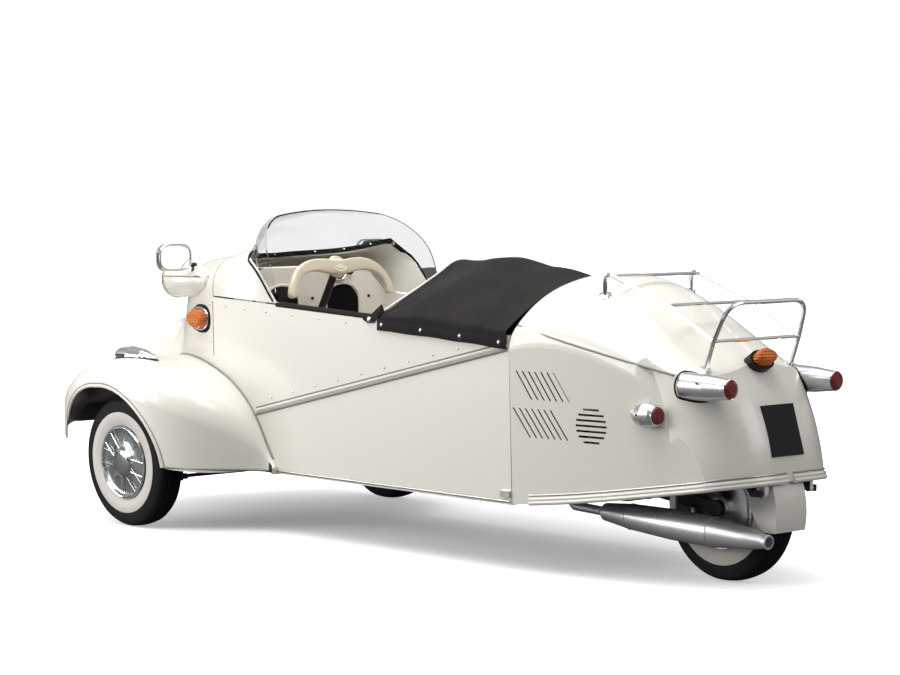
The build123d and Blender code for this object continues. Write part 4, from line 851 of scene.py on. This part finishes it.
def wing_joint(y):
    """Where the wing's top meets the body's side at one place along the car."""
    nodes = ("nose_shell",) if y < NOSE_END else ("lower_hull", "side_panel_left")
    z = JOINT_GUESS
    for _ in range(JOINT_TRIES):
        sides = [touch(node, (BESIDE, y, z), INWARD)[0] for node in nodes]
        sides = [place.x for place in sides if place is not None]
        if not sides:
            return None
        x = max(sides) + OFF_THE_SIDE
        top, _ = touch("fender_left", (x, y, 1.0), DOWN)
        if top is None:
            return None
        z = (z + top.z) / 2
    return Vector((x, y, z + OFF_THE_WING))


WING_YS = [-1.14 + 0.03 * i for i in range(26)]
joint_line = [place for place in (wing_joint(y) for y in WING_YS) if place is not None]
trim("wing_joint_bead", joint_line, 0.0036, grey_bead)
print("wing joint of", len(joint_line), "points, from", [round(v, 3) for v in joint_line[0]])

# %% Slanted double moulding
MOULDING = [(-0.498, 0.3695), (-0.30, 0.4147), (-0.10, 0.4602), (0.10, 0.5058), (0.30, 0.5514),
            (0.50, 0.5969), (0.626, 0.6256)]


def raised(rows, step):
    """Move (y, z) pairs up or down."""
    return [(y, z + step) for y, z in rows]


upper_line = bead("upper_line", along_side("side_panel_left", raised(MOULDING, 0.010)), 0.0026, curved=False)
lower_line = bead("lower_line", along_side("lower_hull", raised(MOULDING, -0.010)), 0.0044, curved=False)
moulding = joined("slanted_moulding", [upper_line, lower_line])
finished(both_sides(moulding), grey_bead, "body")
band_line = along_side("side_panel_left", raised(MOULDING, 0.0020), -0.003)
trim("cream_band", band_line, 0.0070, cream_paint, "paint", curved=False)

SILL = [(y, 0.192) for y in (-0.402, -0.20, 0.10, 0.40, 0.628)]
trim("sill_strip", along_side("lower_hull", SILL), 0.0042, bright_strip, "chrome", curved=False)
print("mouldings laid along the side")

# %% Tail edge
TAIL_MIDDLE = Vector((0.0, 1.00, 0.0))
TAIL_LOW, TAIL_HIGH, TAIL_OUTSIDE = 0.15, 0.45, 1.5


def towards_tail(turn, z):
    """A start outside the tail at one height, and the level way in from it."""
    way = Vector((math.cos(turn), math.sin(turn), 0.0))
    return TAIL_MIDDLE + way * TAIL_OUTSIDE + Vector((0.0, 0.0, z)), -way


def tail_foot(turn):
    """Height of the lowest point of the tail's skin in one direction, or nothing."""
    low, high, foot = TAIL_LOW, TAIL_HIGH, None
    for _ in range(12):
        z = (low + high) / 2
        start, way = towards_tail(turn, z)
        place, _ = touch("tail_shell", start, way)
        near = place is not None and (place - start).length < TAIL_OUTSIDE
        low, high = (low, z) if near else (z, high)
        if near:
            foot = place.z
    return foot


TAIL_TURNS = [math.radians(-44 + 4 * i) for i in range(34)]
# A point that lies more than this below the one before it is left out
FARTHEST_DROP = 0.0015
tail_edge_rows = []
for turn in TAIL_TURNS:
    foot = tail_foot(turn)
    if foot is not None and (not tail_edge_rows or foot > tail_edge_rows[-1][1] - FARTHEST_DROP):
        tail_edge_rows.append((turn, foot))
print("tail edge of", len(tail_edge_rows), "points up to", round(tail_edge_rows[-1][1], 3))


def tail_skin(turn, z, out):
    """A point on the tail's skin at a height."""
    place, normal = touch("tail_shell", *towards_tail(turn, z))
    return None if place is None else place + normal * out


def tail_bead(name, height, out, radius):
    """A bead along the tail's lower edge, from the front corner to the middle of the back."""
    points = [tail_skin(turn, low + height, out) for turn, low in tail_edge_rows]
    return bead(name, [point for point in points if point is not None], radius)


tail_rolls = [tail_bead("low", 0.003, 0.001, 0.0072), tail_bead("high", 0.013, 0.000, 0.0066)]
tail_lip = joined("tail_lip", tail_rolls)
finished(both_sides(tail_lip), cream_paint, "tail_lid")
tail_edge = tail_bead("tail_edge_strip", 0.024, 0.0006, 0.0030)
finished(both_sides(tail_edge), bright_strip, "tail_lid")

TAIL_LINE = [(0.642, 0.683), (0.74, 0.664), (0.84, 0.643), (0.94, 0.622), (1.04, 0.600), (1.12, 0.581),
             (1.165, 0.571)]
trim("tail_flank_strip", along_side("tail_shell", TAIL_LINE), 0.0034, grey_bead, "chrome", "tail_lid")
print("tail trimmed")

# %% [markdown]
# ## Panel joints
# The nose meets the cabin in a thin dark joint. A slim black bead sunk into the paint shows
# it at the width that it has on the car.

# %% Dark joints
NOSE_JOINT = [(NOSE_END - 0.001, z) for z in (0.530, 0.58, 0.64, 0.70)]
trim("nose_joint", along_side("nose_shell", NOSE_JOINT, -0.0004), 0.0014, black_rubber, curved=False)
print("joints drawn")

# %% [markdown]
# ## Snaps and screws
# Round headed screws hold the side panels, and press studs hold the cloth. One domed head
# is modelled, then each copy gets its own mesh and is turned to the surface it sits on.

# %% Domed heads
def dome_head(radius, height):
    """One domed head standing on the ground plane."""
    bpy.ops.object.select_all(action="DESELECT")
    bpy.ops.mesh.primitive_cylinder_add(vertices=12, radius=radius, depth=height, location=(0, 0, height / 2))
    head = bpy.context.object
    edit("DESELECT", "FACE")
    leave()
    for face in head.data.polygons:
        face.select = face.normal.z > 0.9
    edit()
    for rise_share in (0.45, 0.2):
        bpy.ops.mesh.inset(thickness=radius * 0.3, depth=height * rise_share)
    bpy.ops.mesh.select_mode(type="VERT")
    leave()
    return head


def heads(name, places, radius, height, finish, body="body", both=True):
    """Domed heads at (place, normal) pairs, as one piece, on one side of the car or on both."""
    first = dome_head(radius, height)
    copies = []
    for place, normal in places:
        copy = first.copy()
        copy.data = first.data.copy()
        copy.location = place
        copy.rotation_euler = normal.to_track_quat("Z", "Y").to_euler()
        bpy.context.collection.objects.link(copy)
        copies.append(copy)
    bpy.data.objects.remove(first, do_unlink=True)
    piece = joined(name, copies)
    bpy.ops.object.transform_apply(location=True, rotation=True, scale=True)
    if both:
        both_sides(piece)
    return finished(piece, finish, body)


RIM_SCREWS = [(-0.640, 0.686), (-0.545, 0.682), (-0.440, 0.677), (-0.315, 0.672), (-0.190, 0.667),
              (-0.065, 0.662)]
MOULDING_SCREWS = [(-0.425 + 0.106 * i, 0.3862 + 0.02415 * i + 0.030) for i in range(10)]
NOSE_SCREWS = [(-0.722, 0.690), (-0.722, 0.575)]
heads("rim_screws", side_places("side_panel_left", RIM_SCREWS), 0.0045, 0.002, snap_steel)
heads("moulding_screws", side_places("side_panel_left", MOULDING_SCREWS), 0.0040, 0.002, snap_steel)
heads("nose_screws", side_places("nose_shell", NOSE_SCREWS), 0.0045, 0.002, snap_steel)
print("screws placed")

# %% [markdown]
# ## Rubber round the opening
# A thick black strip covers the sheet edge of the cockpit and the foot of the windscreen.
# The foot line is found by feeling outwards from the middle of the bubble until the sheet
# lies above it.

# %% Cockpit strip
RIM_X = 0.3235
RIM_LINE = [(-0.392, 0.7003), (-0.30, 0.6963), (-0.15, 0.6899), (0.0, 0.6835), (0.13, 0.678)]
trim("rim_strip", [(RIM_X, y, z) for y, z in RIM_LINE], 0.0095, black_rubber, curved=False)
print("cockpit edged")


# %% Windscreen foot
SCREEN_MIDDLE_Y = -0.50
OVERHEAD = 1.5


def met_from_above(node, reach, turn):
    """Where a piece is met from above, at a reach and direction from the bubble's middle."""
    x, y = reach * math.sin(turn), SCREEN_MIDDLE_Y - reach * math.cos(turn)
    return touch(node, (x, y, OVERHEAD), DOWN)[0]


def screen_foot(turn):
    """Foot of the bubble in one direction, seen from above."""
    near, far = 0.05, 0.60
    for _ in range(14):
        reach = (near + far) / 2
        glass, sheet = (met_from_above(node, reach, turn) for node in ("windscreen", "cowl"))
        shown = glass is not None and (sheet is None or glass.z > sheet.z)
        near, far = (reach, far) if shown else (near, reach)
    return met_from_above("cowl", far, turn)


SCREEN_SIDE = [(-0.402, 0.712), (-0.425, 0.736), (-0.450, 0.765), (-0.480, 0.798), (-0.510, 0.822),
               (-0.535, 0.838)]
foot_line = along_side("cowl", [(y - 0.006, z - 0.002) for y, z in SCREEN_SIDE])
for step in range(13):
    place = screen_foot(math.radians(78 - 6.5 * step))
    if place is not None:
        foot_line.append(place)
mirror_line = [Vector((-p.x, p.y, p.z)) for p in reversed(foot_line[:-1])]
print("screen foot:", [tuple(round(c, 3) for c in p) for p in foot_line])
foot_strip = bead("screen_foot_strip", foot_line + mirror_line, 0.0040)
finished(foot_strip, black_rubber, "cowl_lid")

BAND_FROM = 0.16
band_line = [p + Vector((0.0, 0.004, -0.003)) for p in foot_line + mirror_line if p.x < BAND_FROM]
band = ribbon("screen_band", band_line, (0.0, 0.0, 0.015), 0.004)
finished(band, black_rubber, "cowl_lid")
studs = []
for index in (8, 11, 14, 17):
    if index < len(foot_line):
        x, y, z = foot_line[index]
        studs += [(Vector((side_x, y + 0.003, z + 0.006)), Vector((0.0, 0.35, 0.93))) for side_x in (x, -x)]
for index in (1, 3):
    x, y, z = foot_line[index]
    studs.append((Vector((-x + 0.006, y + 0.003, z)), Vector((0.9, 0.3, 0.3))))
heads("screen_studs", studs, 0.0042, 0.003, snap_steel, "cowl_lid", both=False)
print("screen studs:", len(studs))

# %% [markdown]
# ## Cloth cover
# The rear of the cockpit is closed by coated canvas. It is one sheet that rises over two
# bows, falls to a hem on each side panel and is held by press studs. The sheet is drawn
# from its cross sections, pulled slightly slack between the bows, and creased at the front
# corners, where the real one is tightest.

# %% Cover sheet
# Columns: y, hem z, shoulder z, bend x, bend z, peak x, peak z, crown z
COVER_ROWS = [
    (0.085, 0.644, 0.688, 0.210, 0.746, 0.070, 0.816, 0.842),
    (0.290, 0.636, 0.690, 0.250, 0.765, 0.090, 0.838, 0.856),
    (0.460, 0.627, 0.677, 0.260, 0.744, 0.110, 0.815, 0.836),
    (0.628, 0.617, 0.668, 0.255, 0.724, 0.120, 0.784, 0.806),
]
COVER_HALF = 0.3368
ALONG, ACROSS = 56, 72
HEM_FROM = 0.86
CLOTH_THICK = 0.0016
SAG, CREASE, WAVE = 0.0045, 0.0028, 0.0012


def cover_row(y):
    """The cover's measures at one place along the car."""
    for low, high in zip(COVER_ROWS, COVER_ROWS[1:]):
        if y <= high[0] or high is COVER_ROWS[-1]:
            share = min(max((y - low[0]) / (high[0] - low[0]), 0.0), 1.0)
            soft = share * share * (3 - 2 * share)
            return [a + (b - a) * soft for a, b in zip(low, high)]
    return list(COVER_ROWS[0])


def height_on_arc(x, a, b, c):
    """Height at x of the arc through three (x, z) points."""
    mid_x, mid_z, radius = circle_through(a, b, c)
    up = 1.0 if b[1] > mid_z else -1.0
    return mid_z + up * math.sqrt(max(radius * radius - (x - mid_x) ** 2, 0.0))


def cover_top(x, row):
    """Height of the cover over one point of a section."""
    _, hem, shoulder, bend_x, bend_z, peak_x, peak_z, crown = row
    x = min(abs(x), COVER_HALF)
    if x < peak_x:
        return height_on_arc(x, (peak_x, peak_z), (0.0, crown), (-peak_x, peak_z))
    return height_on_arc(x, (COVER_HALF, shoulder), (bend_x, bend_z), (peak_x, peak_z))


def bay_swell(y, start, length):
    """Nothing at both ends of a bay between bows, and one in its middle."""
    return math.sin(math.pi * min(max((y - start) / length, 0.0), 1.0))


def slack(x, y):
    """How far the cloth sinks or creases at a point."""
    bay = bay_swell(y, 0.10, 0.19) + 0.8 * bay_swell(y, 0.30, 0.31)
    sag = SAG * bay * max(0.0, 1.0 - (abs(x) / 0.30) ** 2)
    reach = math.hypot(abs(x) - 0.33, (y - 0.10) * 0.8)
    turn = math.atan2(y - 0.06, 0.36 - abs(x))
    crease = CREASE * math.sin(turn * 13.0 + 0.8 * math.sin(x * 9.0)) * math.exp(-reach / 0.16)
    ripple = WAVE * math.sin(x * 41.0 + 3.0 * math.sin(y * 13.0)) * math.sin(y * 23.0 + 1.7)
    return -sag + crease + ripple


bpy.ops.object.select_all(action="DESELECT")
bpy.ops.mesh.primitive_grid_add(x_subdivisions=ACROSS, y_subdivisions=ALONG, size=1.0)
cover = bpy.context.object
cover.name = "cloth_cover"
for vertex in cover.data.vertices:
    across, along = vertex.co.x * 2.0, vertex.co.y + 0.5
    y = COVER_ROWS[0][0] + along * (COVER_ROWS[-1][0] - COVER_ROWS[0][0])
    row = cover_row(y)
    side = 1.0 if across >= 0 else -1.0
    reach = abs(across) / HEM_FROM
    if reach <= 1.0:
        x = side * COVER_HALF * (1.0 - (1.0 - reach) ** 1.12)
        z = cover_top(x, row) + slack(x, y)
    else:
        share = (reach - 1.0) / (1.0 / HEM_FROM - 1.0)
        x = side * (COVER_HALF + 0.0008 * math.sin(y * 37.0) * share)
        z = row[2] + (row[1] - row[2]) * share
    vertex.co = (x, y, z)
wall = cover.modifiers.new("cloth", "SOLIDIFY")
wall.thickness = CLOTH_THICK
wall.offset = -1.0
soft = cover.modifiers.new("soft", "SUBSURF")
soft.levels = soft.render_levels = 1
apply_all(cover)
tidy(cover)
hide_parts("tonneau_cover")
finished(cover, cover_cloth, "body")

# %% Hem band and piping
def cover_edge(y, rise):
    """Line over the cover from hem to hem at one place along the car."""
    row = cover_row(y)
    line = [Vector((COVER_HALF, y, row[1] + 0.002)), Vector((COVER_HALF, y, row[2] - 0.006))]
    for step in range(1, 24):
        x = COVER_HALF * (1.0 - step / 12.0)
        line.append(Vector((x, y, cover_top(x, row) + rise)))
    line += [Vector((-COVER_HALF, y, row[2] - 0.006)), Vector((-COVER_HALF, y, row[1] + 0.002))]
    return line


piping = bead("cover_piping", cover_edge(0.0835, 0.0015), 0.0030)
finished(piping, white_piping, "body")
HEM_LIFT = 0.0012
hem_rows = [0.085 + 0.0543 * i for i in range(11)]
hem_line = [(COVER_HALF + HEM_LIFT, y, cover_row(y)[1] + 0.001) for y in hem_rows]
hem = ribbon("cover_hem", hem_line, (0.0, 0.0, 0.030), CLOTH_THICK)
finished(both_sides(hem), cover_cloth, "body")
SNAP_YS = (0.105, 0.275, 0.440, 0.600)
SIDEWAYS = Vector((1.0, 0.0, 0.0))
snaps = [(Vector((COVER_HALF + HEM_LIFT, y, cover_row(y)[1] + 0.018)), SIDEWAYS) for y in SNAP_YS]
heads("cover_snaps", snaps, 0.0062, 0.003, snap_steel)

# %% Strap and stud at the front corners
STRAP = [(0.334, 0.020, 0.672), (0.3375, 0.045, 0.664), (0.3385, 0.070, 0.668), (0.3385, 0.095, 0.684),
         (0.330, 0.110, 0.700)]
strap = ribbon("cover_strap", STRAP, (0.0, -0.012, 0.022), 0.003)
finished(both_sides(strap), black_rubber, "body")
heads("strap_snap", [(Vector((0.3395, 0.052, 0.676)), SIDEWAYS)], 0.0085, 0.003, snap_steel)
print("cover trimmed")

# %% [markdown]
# ## Wheel wires
# The front covers carry bright wires that cross between the hub and the rim, as on a spoked
# wheel, and a rolled bright ring round the edge.

# %% Wires and rim rings
def wheel_point(centre, axle, rise, along, radius, turn):
    """A point on a wheel, given along the axle, out from it and round it."""
    level = axle.cross(rise)
    return centre + axle * along + (rise * math.cos(turn) + level * math.sin(turn)) * radius


WIRES, CROSSING = 20, 0.26
# Place along the axle and radius of a wire's two ends and of the ring
WIRE_LOW, WIRE_HIGH, RIM_RING = (0.0445, 0.0440), (0.0432, 0.1035), (0.0440, 0.1090)
RING_POINTS = 60
for name in ("front_left", "front_right"):
    x, y, z, lean, side, body = WHEELS[name]
    centre = Vector((x, y, z))
    axle, rise = wheel_axes(lean, side)
    wires = []
    for step in range(WIRES):
        turn = math.tau * step / WIRES
        sweep = CROSSING if step % 2 else -CROSSING
        low = wheel_point(centre, axle, rise, *WIRE_LOW, turn)
        high = wheel_point(centre, axle, rise, *WIRE_HIGH, turn + sweep)
        wires.append(bead("wire", [low, high], 0.0010, curved=False))
    circle = [wheel_point(centre, axle, rise, *RIM_RING, math.tau * i / RING_POINTS)
              for i in range(RING_POINTS)]
    wires.append(bead("rim_ring", [*circle, circle[0]], 0.0030, curved=False, closed=True))
    finished(joined("wheel_wires_" + name, wires), chrome, body)
print("wires laid on the front wheels")

# %% [markdown]
# ## Luggage rack
# The rack is bent from chrome tube with wide corners. The path is worked out from its corner
# points and a bend radius for each, as a pipe bender would, and then gets a round section.

# %% Bent tube
def bent(points, radii):
    """A path with each inner corner rounded to its own radius."""
    corners = [Vector(point) for point in points]
    path = [corners[0]]
    for before, corner, after, radius in zip(corners, corners[1:], corners[2:], radii):
        come, go = (before - corner).normalized(), (after - corner).normalized()
        half = come.angle(go) / 2
        reach = min(radius / math.tan(half), (before - corner).length * 0.48, (after - corner).length * 0.48)
        start, end = corner + come * reach, corner + go * reach
        for step in range(9):
            share = step / 8
            path.append(start * (1 - share) ** 2 + corner * 2 * share * (1 - share) + end * share ** 2)
    path.append(corners[-1])
    return path


def tube(name, points, radii, radius):
    """A round tube along a bent path."""
    return bead(name, bent(points, radii), radius, curved=False)


RACK_HALF, RACK_TOP = 0.172, 0.156
HOOP = [(RACK_HALF, 1.217, 0.570), (RACK_HALF, 1.250, 0.662), (RACK_TOP, 1.291, 0.764)]
hoop = tube("hoop", HOOP + [(-x, y, z) for x, y, z in reversed(HOOP)], (0.05, 0.062, 0.062, 0.05), 0.0065)
RAIL = [(0.850, 0.760), (0.850, 0.834), (1.088, 0.751), (1.250, 0.662)]
rails = tube("rails", [(RACK_HALF, y, z) for y, z in RAIL], (0.026, 0.10), 0.0062)
both_sides(rails)
bars = [tube("bar", [(-RACK_HALF, y, z), (RACK_HALF, y, z)], (), 0.0052)
        for y, z in ((0.884, 0.8225), (1.088, 0.751), (1.250, 0.662))]
rack = joined("luggage_rack_tube", [hoop, rails, *bars])
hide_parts("luggage_rack")
finished(rack, chrome, "tail_lid")
feet = [touch("tail_shell", (x, y, OVERHEAD), DOWN) for x in (-RACK_HALF, RACK_HALF) for y in (0.850, 1.218)]
feet = [pair for pair in feet if pair[0] is not None]
heads("rack_feet", feet, 0.019, 0.004, chrome, "tail_lid", both=False)
screws = [(place + Vector((0.0, 0.013, 0.0015)), normal) for place, normal in feet]
heads("rack_foot_screws", screws, 0.0042, 0.004, snap_steel, "tail_lid", both=False)
print("rack bent, feet:", len(feet))

# %% [markdown]
# ## Steering yoke
# The yoke is a flat moulded bar with swept arms. Its outline is traced in one plane, filled,
# pulled to its thickness, and its edges are rounded so that it reads as cast plastic.

# %% Outline to solid
def flowing(points, steps=4):
    """A closed line of points made smooth."""
    count, smoothed = len(points), []
    for i in range(count):
        p0, p1, p2, p3 = (Vector(points[(i + k - 1) % count]) for k in range(4))
        for step in range(steps):
            t = step / steps
            smoothed.append(0.5 * (2 * p1 + (p2 - p0) * t + (2 * p0 - 5 * p1 + 4 * p2 - p3) * t ** 2
                                   + (3 * p1 - p0 - 3 * p2 + p3) * t ** 3))
    return smoothed


def slab(name, outline, push, edge, segments=3):
    """A closed outline filled, pulled to a thickness and with rounded edges."""
    piece = trace(name, [*outline, outline[0]], closed=True)
    edit("SELECT")
    bpy.ops.mesh.edge_face_add()
    bpy.ops.mesh.extrude_region_move(TRANSFORM_OT_translate={"value": push})
    leave()
    tidy(piece)
    soft = piece.modifiers.new("soft", "BEVEL")
    soft.width = edge
    soft.segments = segments
    soft.limit_method = "ANGLE"
    apply_all(piece)
    return piece


YOKE_TOP = [(0.000, 0.822), (0.060, 0.828), (0.110, 0.826), (0.150, 0.812), (0.182, 0.786), (0.204, 0.750),
            (0.212, 0.716)]
YOKE_LOW = [(0.188, 0.712), (0.180, 0.742), (0.162, 0.768), (0.132, 0.784), (0.090, 0.789), (0.040, 0.782),
            (0.000, 0.778)]
half = [*YOKE_TOP, *YOKE_LOW]
ring_of_points = half + [(-x, z) for x, z in reversed(half[1:-1])]
outline = [(x, -0.5015 + (0.812 - z) * 0.2, z) for x, z in ring_of_points]
yoke_bar = slab("yoke_bar", flowing(outline), (0.0, 0.0205, 0.0040), 0.0075, 4)
HUB_WAY = Vector((0.0, 0.78, 0.62)).normalized()
HUB_PLACE = Vector((0.0, -0.514, 0.792))
HUB_SECTION = [(0.0, 0.0), (0.0, 0.028), (0.006, 0.034), (0.030, 0.034), (0.0345, 0.031), (0.0362, 0.0250),
               (0.0340, 0.0236), (0.0340, 0.0222), (0.0366, 0.0208), (0.0390, 0.010), (0.0396, 0.0)]
hub = spun("yoke_hub", HUB_SECTION, HUB_PLACE, HUB_WAY, Vector((1.0, 0.0, 0.0)), 40, False)
yoke = joined("steering_yoke", [yoke_bar, hub])
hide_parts("handlebar")
finished(yoke, yoke_cream, "steering_bar")
print("yoke faces:", len(yoke.data.polygons))

# %% [markdown]
# ## Lamps and mirrors
# A dark seal lies between every lamp and the paint. It follows the surface, so each point of
# the ring is felt for before the bead is drawn.

# %% Seals and rims
def oval(middle, across, up, square=1.0, count=32):
    """Offsets round an oval. Less than one makes it squarer."""
    offsets = []
    for step in range(count):
        turn = math.tau * step / count
        c, s = math.cos(turn), math.sin(turn)
        offsets.append((middle[0] + across * math.copysign(abs(c) ** square, c),
                        middle[1] + up * math.copysign(abs(s) ** square, s)))
    return offsets


def ring(name, points, thick):
    """A closed round bead."""
    return bead(name, [*points, points[0]], thick, curved=False, closed=True)


def ring_trim(name, points, thick, finish, body="body"):
    """A closed round bead on both sides of the car, finished and riding on its body."""
    return finished(both_sides(ring(name, points, thick)), finish, body)


INDICATOR = (-0.775, 0.642)
seal_line = along_side("nose_shell", oval(INDICATOR, 0.050, 0.041, 0.75), 0.001)
ring_trim("indicator_seals", seal_line, 0.0042, black_rubber)
rim_line = along_side("indicator_bases", oval(INDICATOR, 0.041, 0.033, 0.75))
ring_trim("indicator_rims", rim_line, 0.0022, chrome)
print("indicators sealed")

# %% Wing lamps
WING_LAMP_X = 0.480
# Columns: y, half width
DROP = [(-0.991, 0.0200), (-0.977, 0.0262), (-0.950, 0.0305), (-0.921, 0.0322), (-0.890, 0.0305),
        (-0.861, 0.0252), (-0.825, 0.0150), (-0.797, 0.0055)]
drop_line = [(WING_LAMP_X + half, y) for y, half in DROP]
drop_line += [(WING_LAMP_X - half, y) for y, half in reversed(DROP)]
drop = [touch("fender_left", (x, y, 1.0), DOWN)[0] for x, y in drop_line]
drop = [place + Vector((0.0, 0.0, 0.001)) for place in drop if place is not None]
ring_trim("wing_lamp_seals", drop, 0.0028, black_rubber)
wing_glass = [(Vector((WING_LAMP_X, -0.9905, 0.526)), Vector((0.0, -1.0, 0.0)))]
heads("wing_lamp_glasses", wing_glass, 0.0165, 0.007, clear_lens)
print("wing lamps sealed with", len(drop), "points")

# %% Tail lamps
TAIL_LAMP, FLANK_LAMP = (0.213, 0.543), (0.275, 0.464)
BEHIND, LAMP_FRONT_Y = 1.8, 1.186
lamp_ring = []
for x, z in oval(TAIL_LAMP, 0.0392, 0.0392, count=40):
    place, _ = touch("tail_shell", (x, BEHIND, z), (0.0, -1.0, 0.0))
    y = place.y if place is not None else 0.0
    lamp_ring.append(Vector((x, max(y + 0.0005, LAMP_FRONT_Y), z)))
ring_trim("tail_lamp_seals", lamp_ring, 0.0024, black_rubber, body="tail_lid")
rims = []
# Columns: name, middle, y, radius
for name, middle, y, radius in (("tail_rims", TAIL_LAMP, 1.3475, 0.0262),
                                ("flank_rims", FLANK_LAMP, 1.1452, 0.0248)):
    rims.append(ring(name, [Vector((x, y, z)) for x, z in oval(middle, radius, radius, count=28)], 0.0020))
finished(both_sides(joined("rear_lamp_rims", rims)), chrome, "tail_lid")
lamp_screws = [(Vector((0.2505, 1.262, 0.556)), Vector((1.0, 0.0, 0.2))),
               (Vector((0.3085, 1.100, 0.466)), Vector((1.0, 0.0, 0.1)))]
heads("tail_lamp_screws", lamp_screws, 0.0032, 0.002, black_steel, "tail_lid")
beacon_screw = [(Vector((-0.036, 1.2705, 0.6105)), Vector((0.0, 0.83, 0.56)))]
heads("beacon_screws", beacon_screw, 0.0045, 0.004, snap_steel, "tail_lid", both=False)
print("tail lamps sealed")

# %% Lamp pods and mirrors
POD_LINE = [(-0.735 - 0.0205 * i, 0.7745 - 0.0004 * i) for i in range(10)]
trim("pod_lines", along_side("headlamp_pods", POD_LINE, 0.0003), 0.0026, chrome, "chrome")
MIRROR, MIRROR_FACE_Y, MIRROR_SQUARE = (0.407, 0.834), -0.7958, 0.62


def mirror_edge(across, up, lift):
    """Points round the left mirror's rear face."""
    return [Vector((x, MIRROR_FACE_Y + lift, z)) for x, z in oval(MIRROR, across, up, MIRROR_SQUARE, 40)]


glass = slab("mirror_plates", mirror_edge(0.0555, 0.0360, 0.0), (0.0, 0.0018, 0.0), 0.0004, 1)
finished(both_sides(glass), mirror_glass, "body")
ring_trim("mirror_rims", mirror_edge(0.0590, 0.0392, 0.001), 0.0030, satin_metal)
mirror_foot = [(Vector((0.330, -0.806, 0.8085)), Vector((0.25, 0.0, 1.0)))]
heads("mirror_feet", mirror_foot, 0.013, 0.006, black_plastic)
print("lamps sealed, mirrors glazed")

# %% [markdown]
# ## Cabin
# The dash carries one dial and a knob, and each foot arch has a rolled edge.

# %% Dash
DASH_FACE = -0.6175
DIAL_X, DIAL_Z = -0.100, 0.786
MARK_REACH = 0.021
REARWARD = Vector((0.0, 1.0, 0.0))


def on_dash(name, places, radius, height, finish):
    """Domed heads that face the driver."""
    pairs = [(Vector(place), REARWARD) for place in places]
    return heads(name, pairs, radius, height, finish, both=False)


dial_edge = [Vector((x, -0.6035, z)) for x, z in oval((DIAL_X, DIAL_Z), 0.0295, 0.0295, count=32)]
dial_rim = ring("dial_rim", dial_edge, 0.0026)
finished(dial_rim, chrome, "body")
mark_turns = [math.radians(-130 + 26 * i) for i in range(11)]
marks = [(DIAL_X + MARK_REACH * math.sin(t), -0.6026, DIAL_Z + MARK_REACH * math.cos(t)) for t in mark_turns]
on_dash("dial_marks", marks, 0.0015, 0.0006, dial_white)
needle = bead("dial_needle", [(DIAL_X, -0.602, DIAL_Z), (-0.113, -0.602, 0.773)], 0.0009, curved=False)
finished(needle, dial_white, "body")
on_dash("dash_knob", [(-0.152, DASH_FACE, 0.780)], 0.0095, 0.016, black_plastic)
on_dash("dash_screws", [(x, DASH_FACE, 0.700) for x in (-0.235, 0.0, 0.235)], 0.0050, 0.003, black_steel)
ARCH = [(0.053, 0.435), (0.053, 0.690), (0.0600, 0.7150), (0.0800, 0.7360), (0.1050, 0.7440), (0.125, 0.7455)]
arch = ARCH + [(0.250 - x, z) for x, z in reversed(ARCH[:-1])]
trim("foot_arch_rolls", [(x, DASH_FACE + 0.0005, z) for x, z in arch], 0.0042, inner_paint, "interior")
print("dash fitted")

# %% [markdown]
# ## Silencer
# The silencer is rolled from sheet in three lengths. The two weld lines and the outlet's
# rolled lip show it.

# %% Weld lines
SILENCER_START = Vector((0.115, 0.640, 0.170))
SILENCER_WAY = (Vector((0.115, 1.400, 0.138)) - SILENCER_START).normalized()
SILENCER_UP = SILENCER_WAY.cross(SIDEWAYS).normalized() * -1.0
# Columns: place along the silencer, radius, thickness
WELDS = ((0.262, 0.0362, 0.0012), (0.566, 0.0412, 0.0012), (0.757, 0.0180, 0.0022))
WELD_TURNS = [math.tau * step / 36 for step in range(36)]
welds = []
for along, radius, thick in WELDS:
    middle = SILENCER_START + SILENCER_WAY * along
    points = [middle + SIDEWAYS * radius * math.cos(t) + SILENCER_UP * radius * math.sin(t)
              for t in WELD_TURNS]
    welds.append(ring("weld", points, thick))
finished(joined("silencer_welds", welds), silencer_steel, "body")
print("welds:", len(welds))

# %% [markdown]
# ## Seat
# The pads are stuffed. Their plain blocks are remeshed evenly and blown up a little as cloth,
# so that the faces crown and the edges pull in. The sewn channels are pressed in afterwards.

# %% Stuffed pads
VOXEL, PRESSURE, FRAMES, FARTHEST = 0.006, 4.0, 20, 0.022
SEAM_DEPTH, SEAM_HALF = 0.007, 0.009
pads = parts["seat_pads"].copy()
pads.data = parts["seat_pads"].data.copy()
pads.name = "stuffed_seat_pads"
bpy.context.collection.objects.link(pads)
tidy(pads)
even = pads.modifiers.new("even", "REMESH")
even.mode = "VOXEL"
even.voxel_size = VOXEL
apply_all(pads)
before = [vertex.co.copy() for vertex in pads.data.vertices]
cloth = pads.modifiers.new("stuffing", "CLOTH")
cloth.settings.use_pressure = True
cloth.settings.uniform_pressure_force = PRESSURE
cloth.settings.effector_weights.gravity = 0.0
for step in range(1, FRAMES + 1):
    bpy.context.scene.frame_set(step)
apply_all(pads)
bpy.context.scene.frame_set(1)
for vertex, start in zip(pads.data.vertices, before):
    move = vertex.co - start
    if move.length > FARTHEST:
        vertex.co = start + move.normalized() * FARTHEST
SEAMS = [-0.132 + 0.066 * i for i in range(5)]
for vertex in pads.data.vertices:
    x, y, z = vertex.co
    near = min(abs(x - seam) for seam in SEAMS)
    press = SEAM_DEPTH * math.exp(-(near / SEAM_HALF) ** 2)
    if z > 0.40 and y < 0.16 or y < 0.205 and z > 0.47:
        vertex.co -= vertex.normal * press
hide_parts("seat_pads")
finished(pads, seat_vinyl, "body")
print("seat pads of", len(pads.data.polygons), "faces")
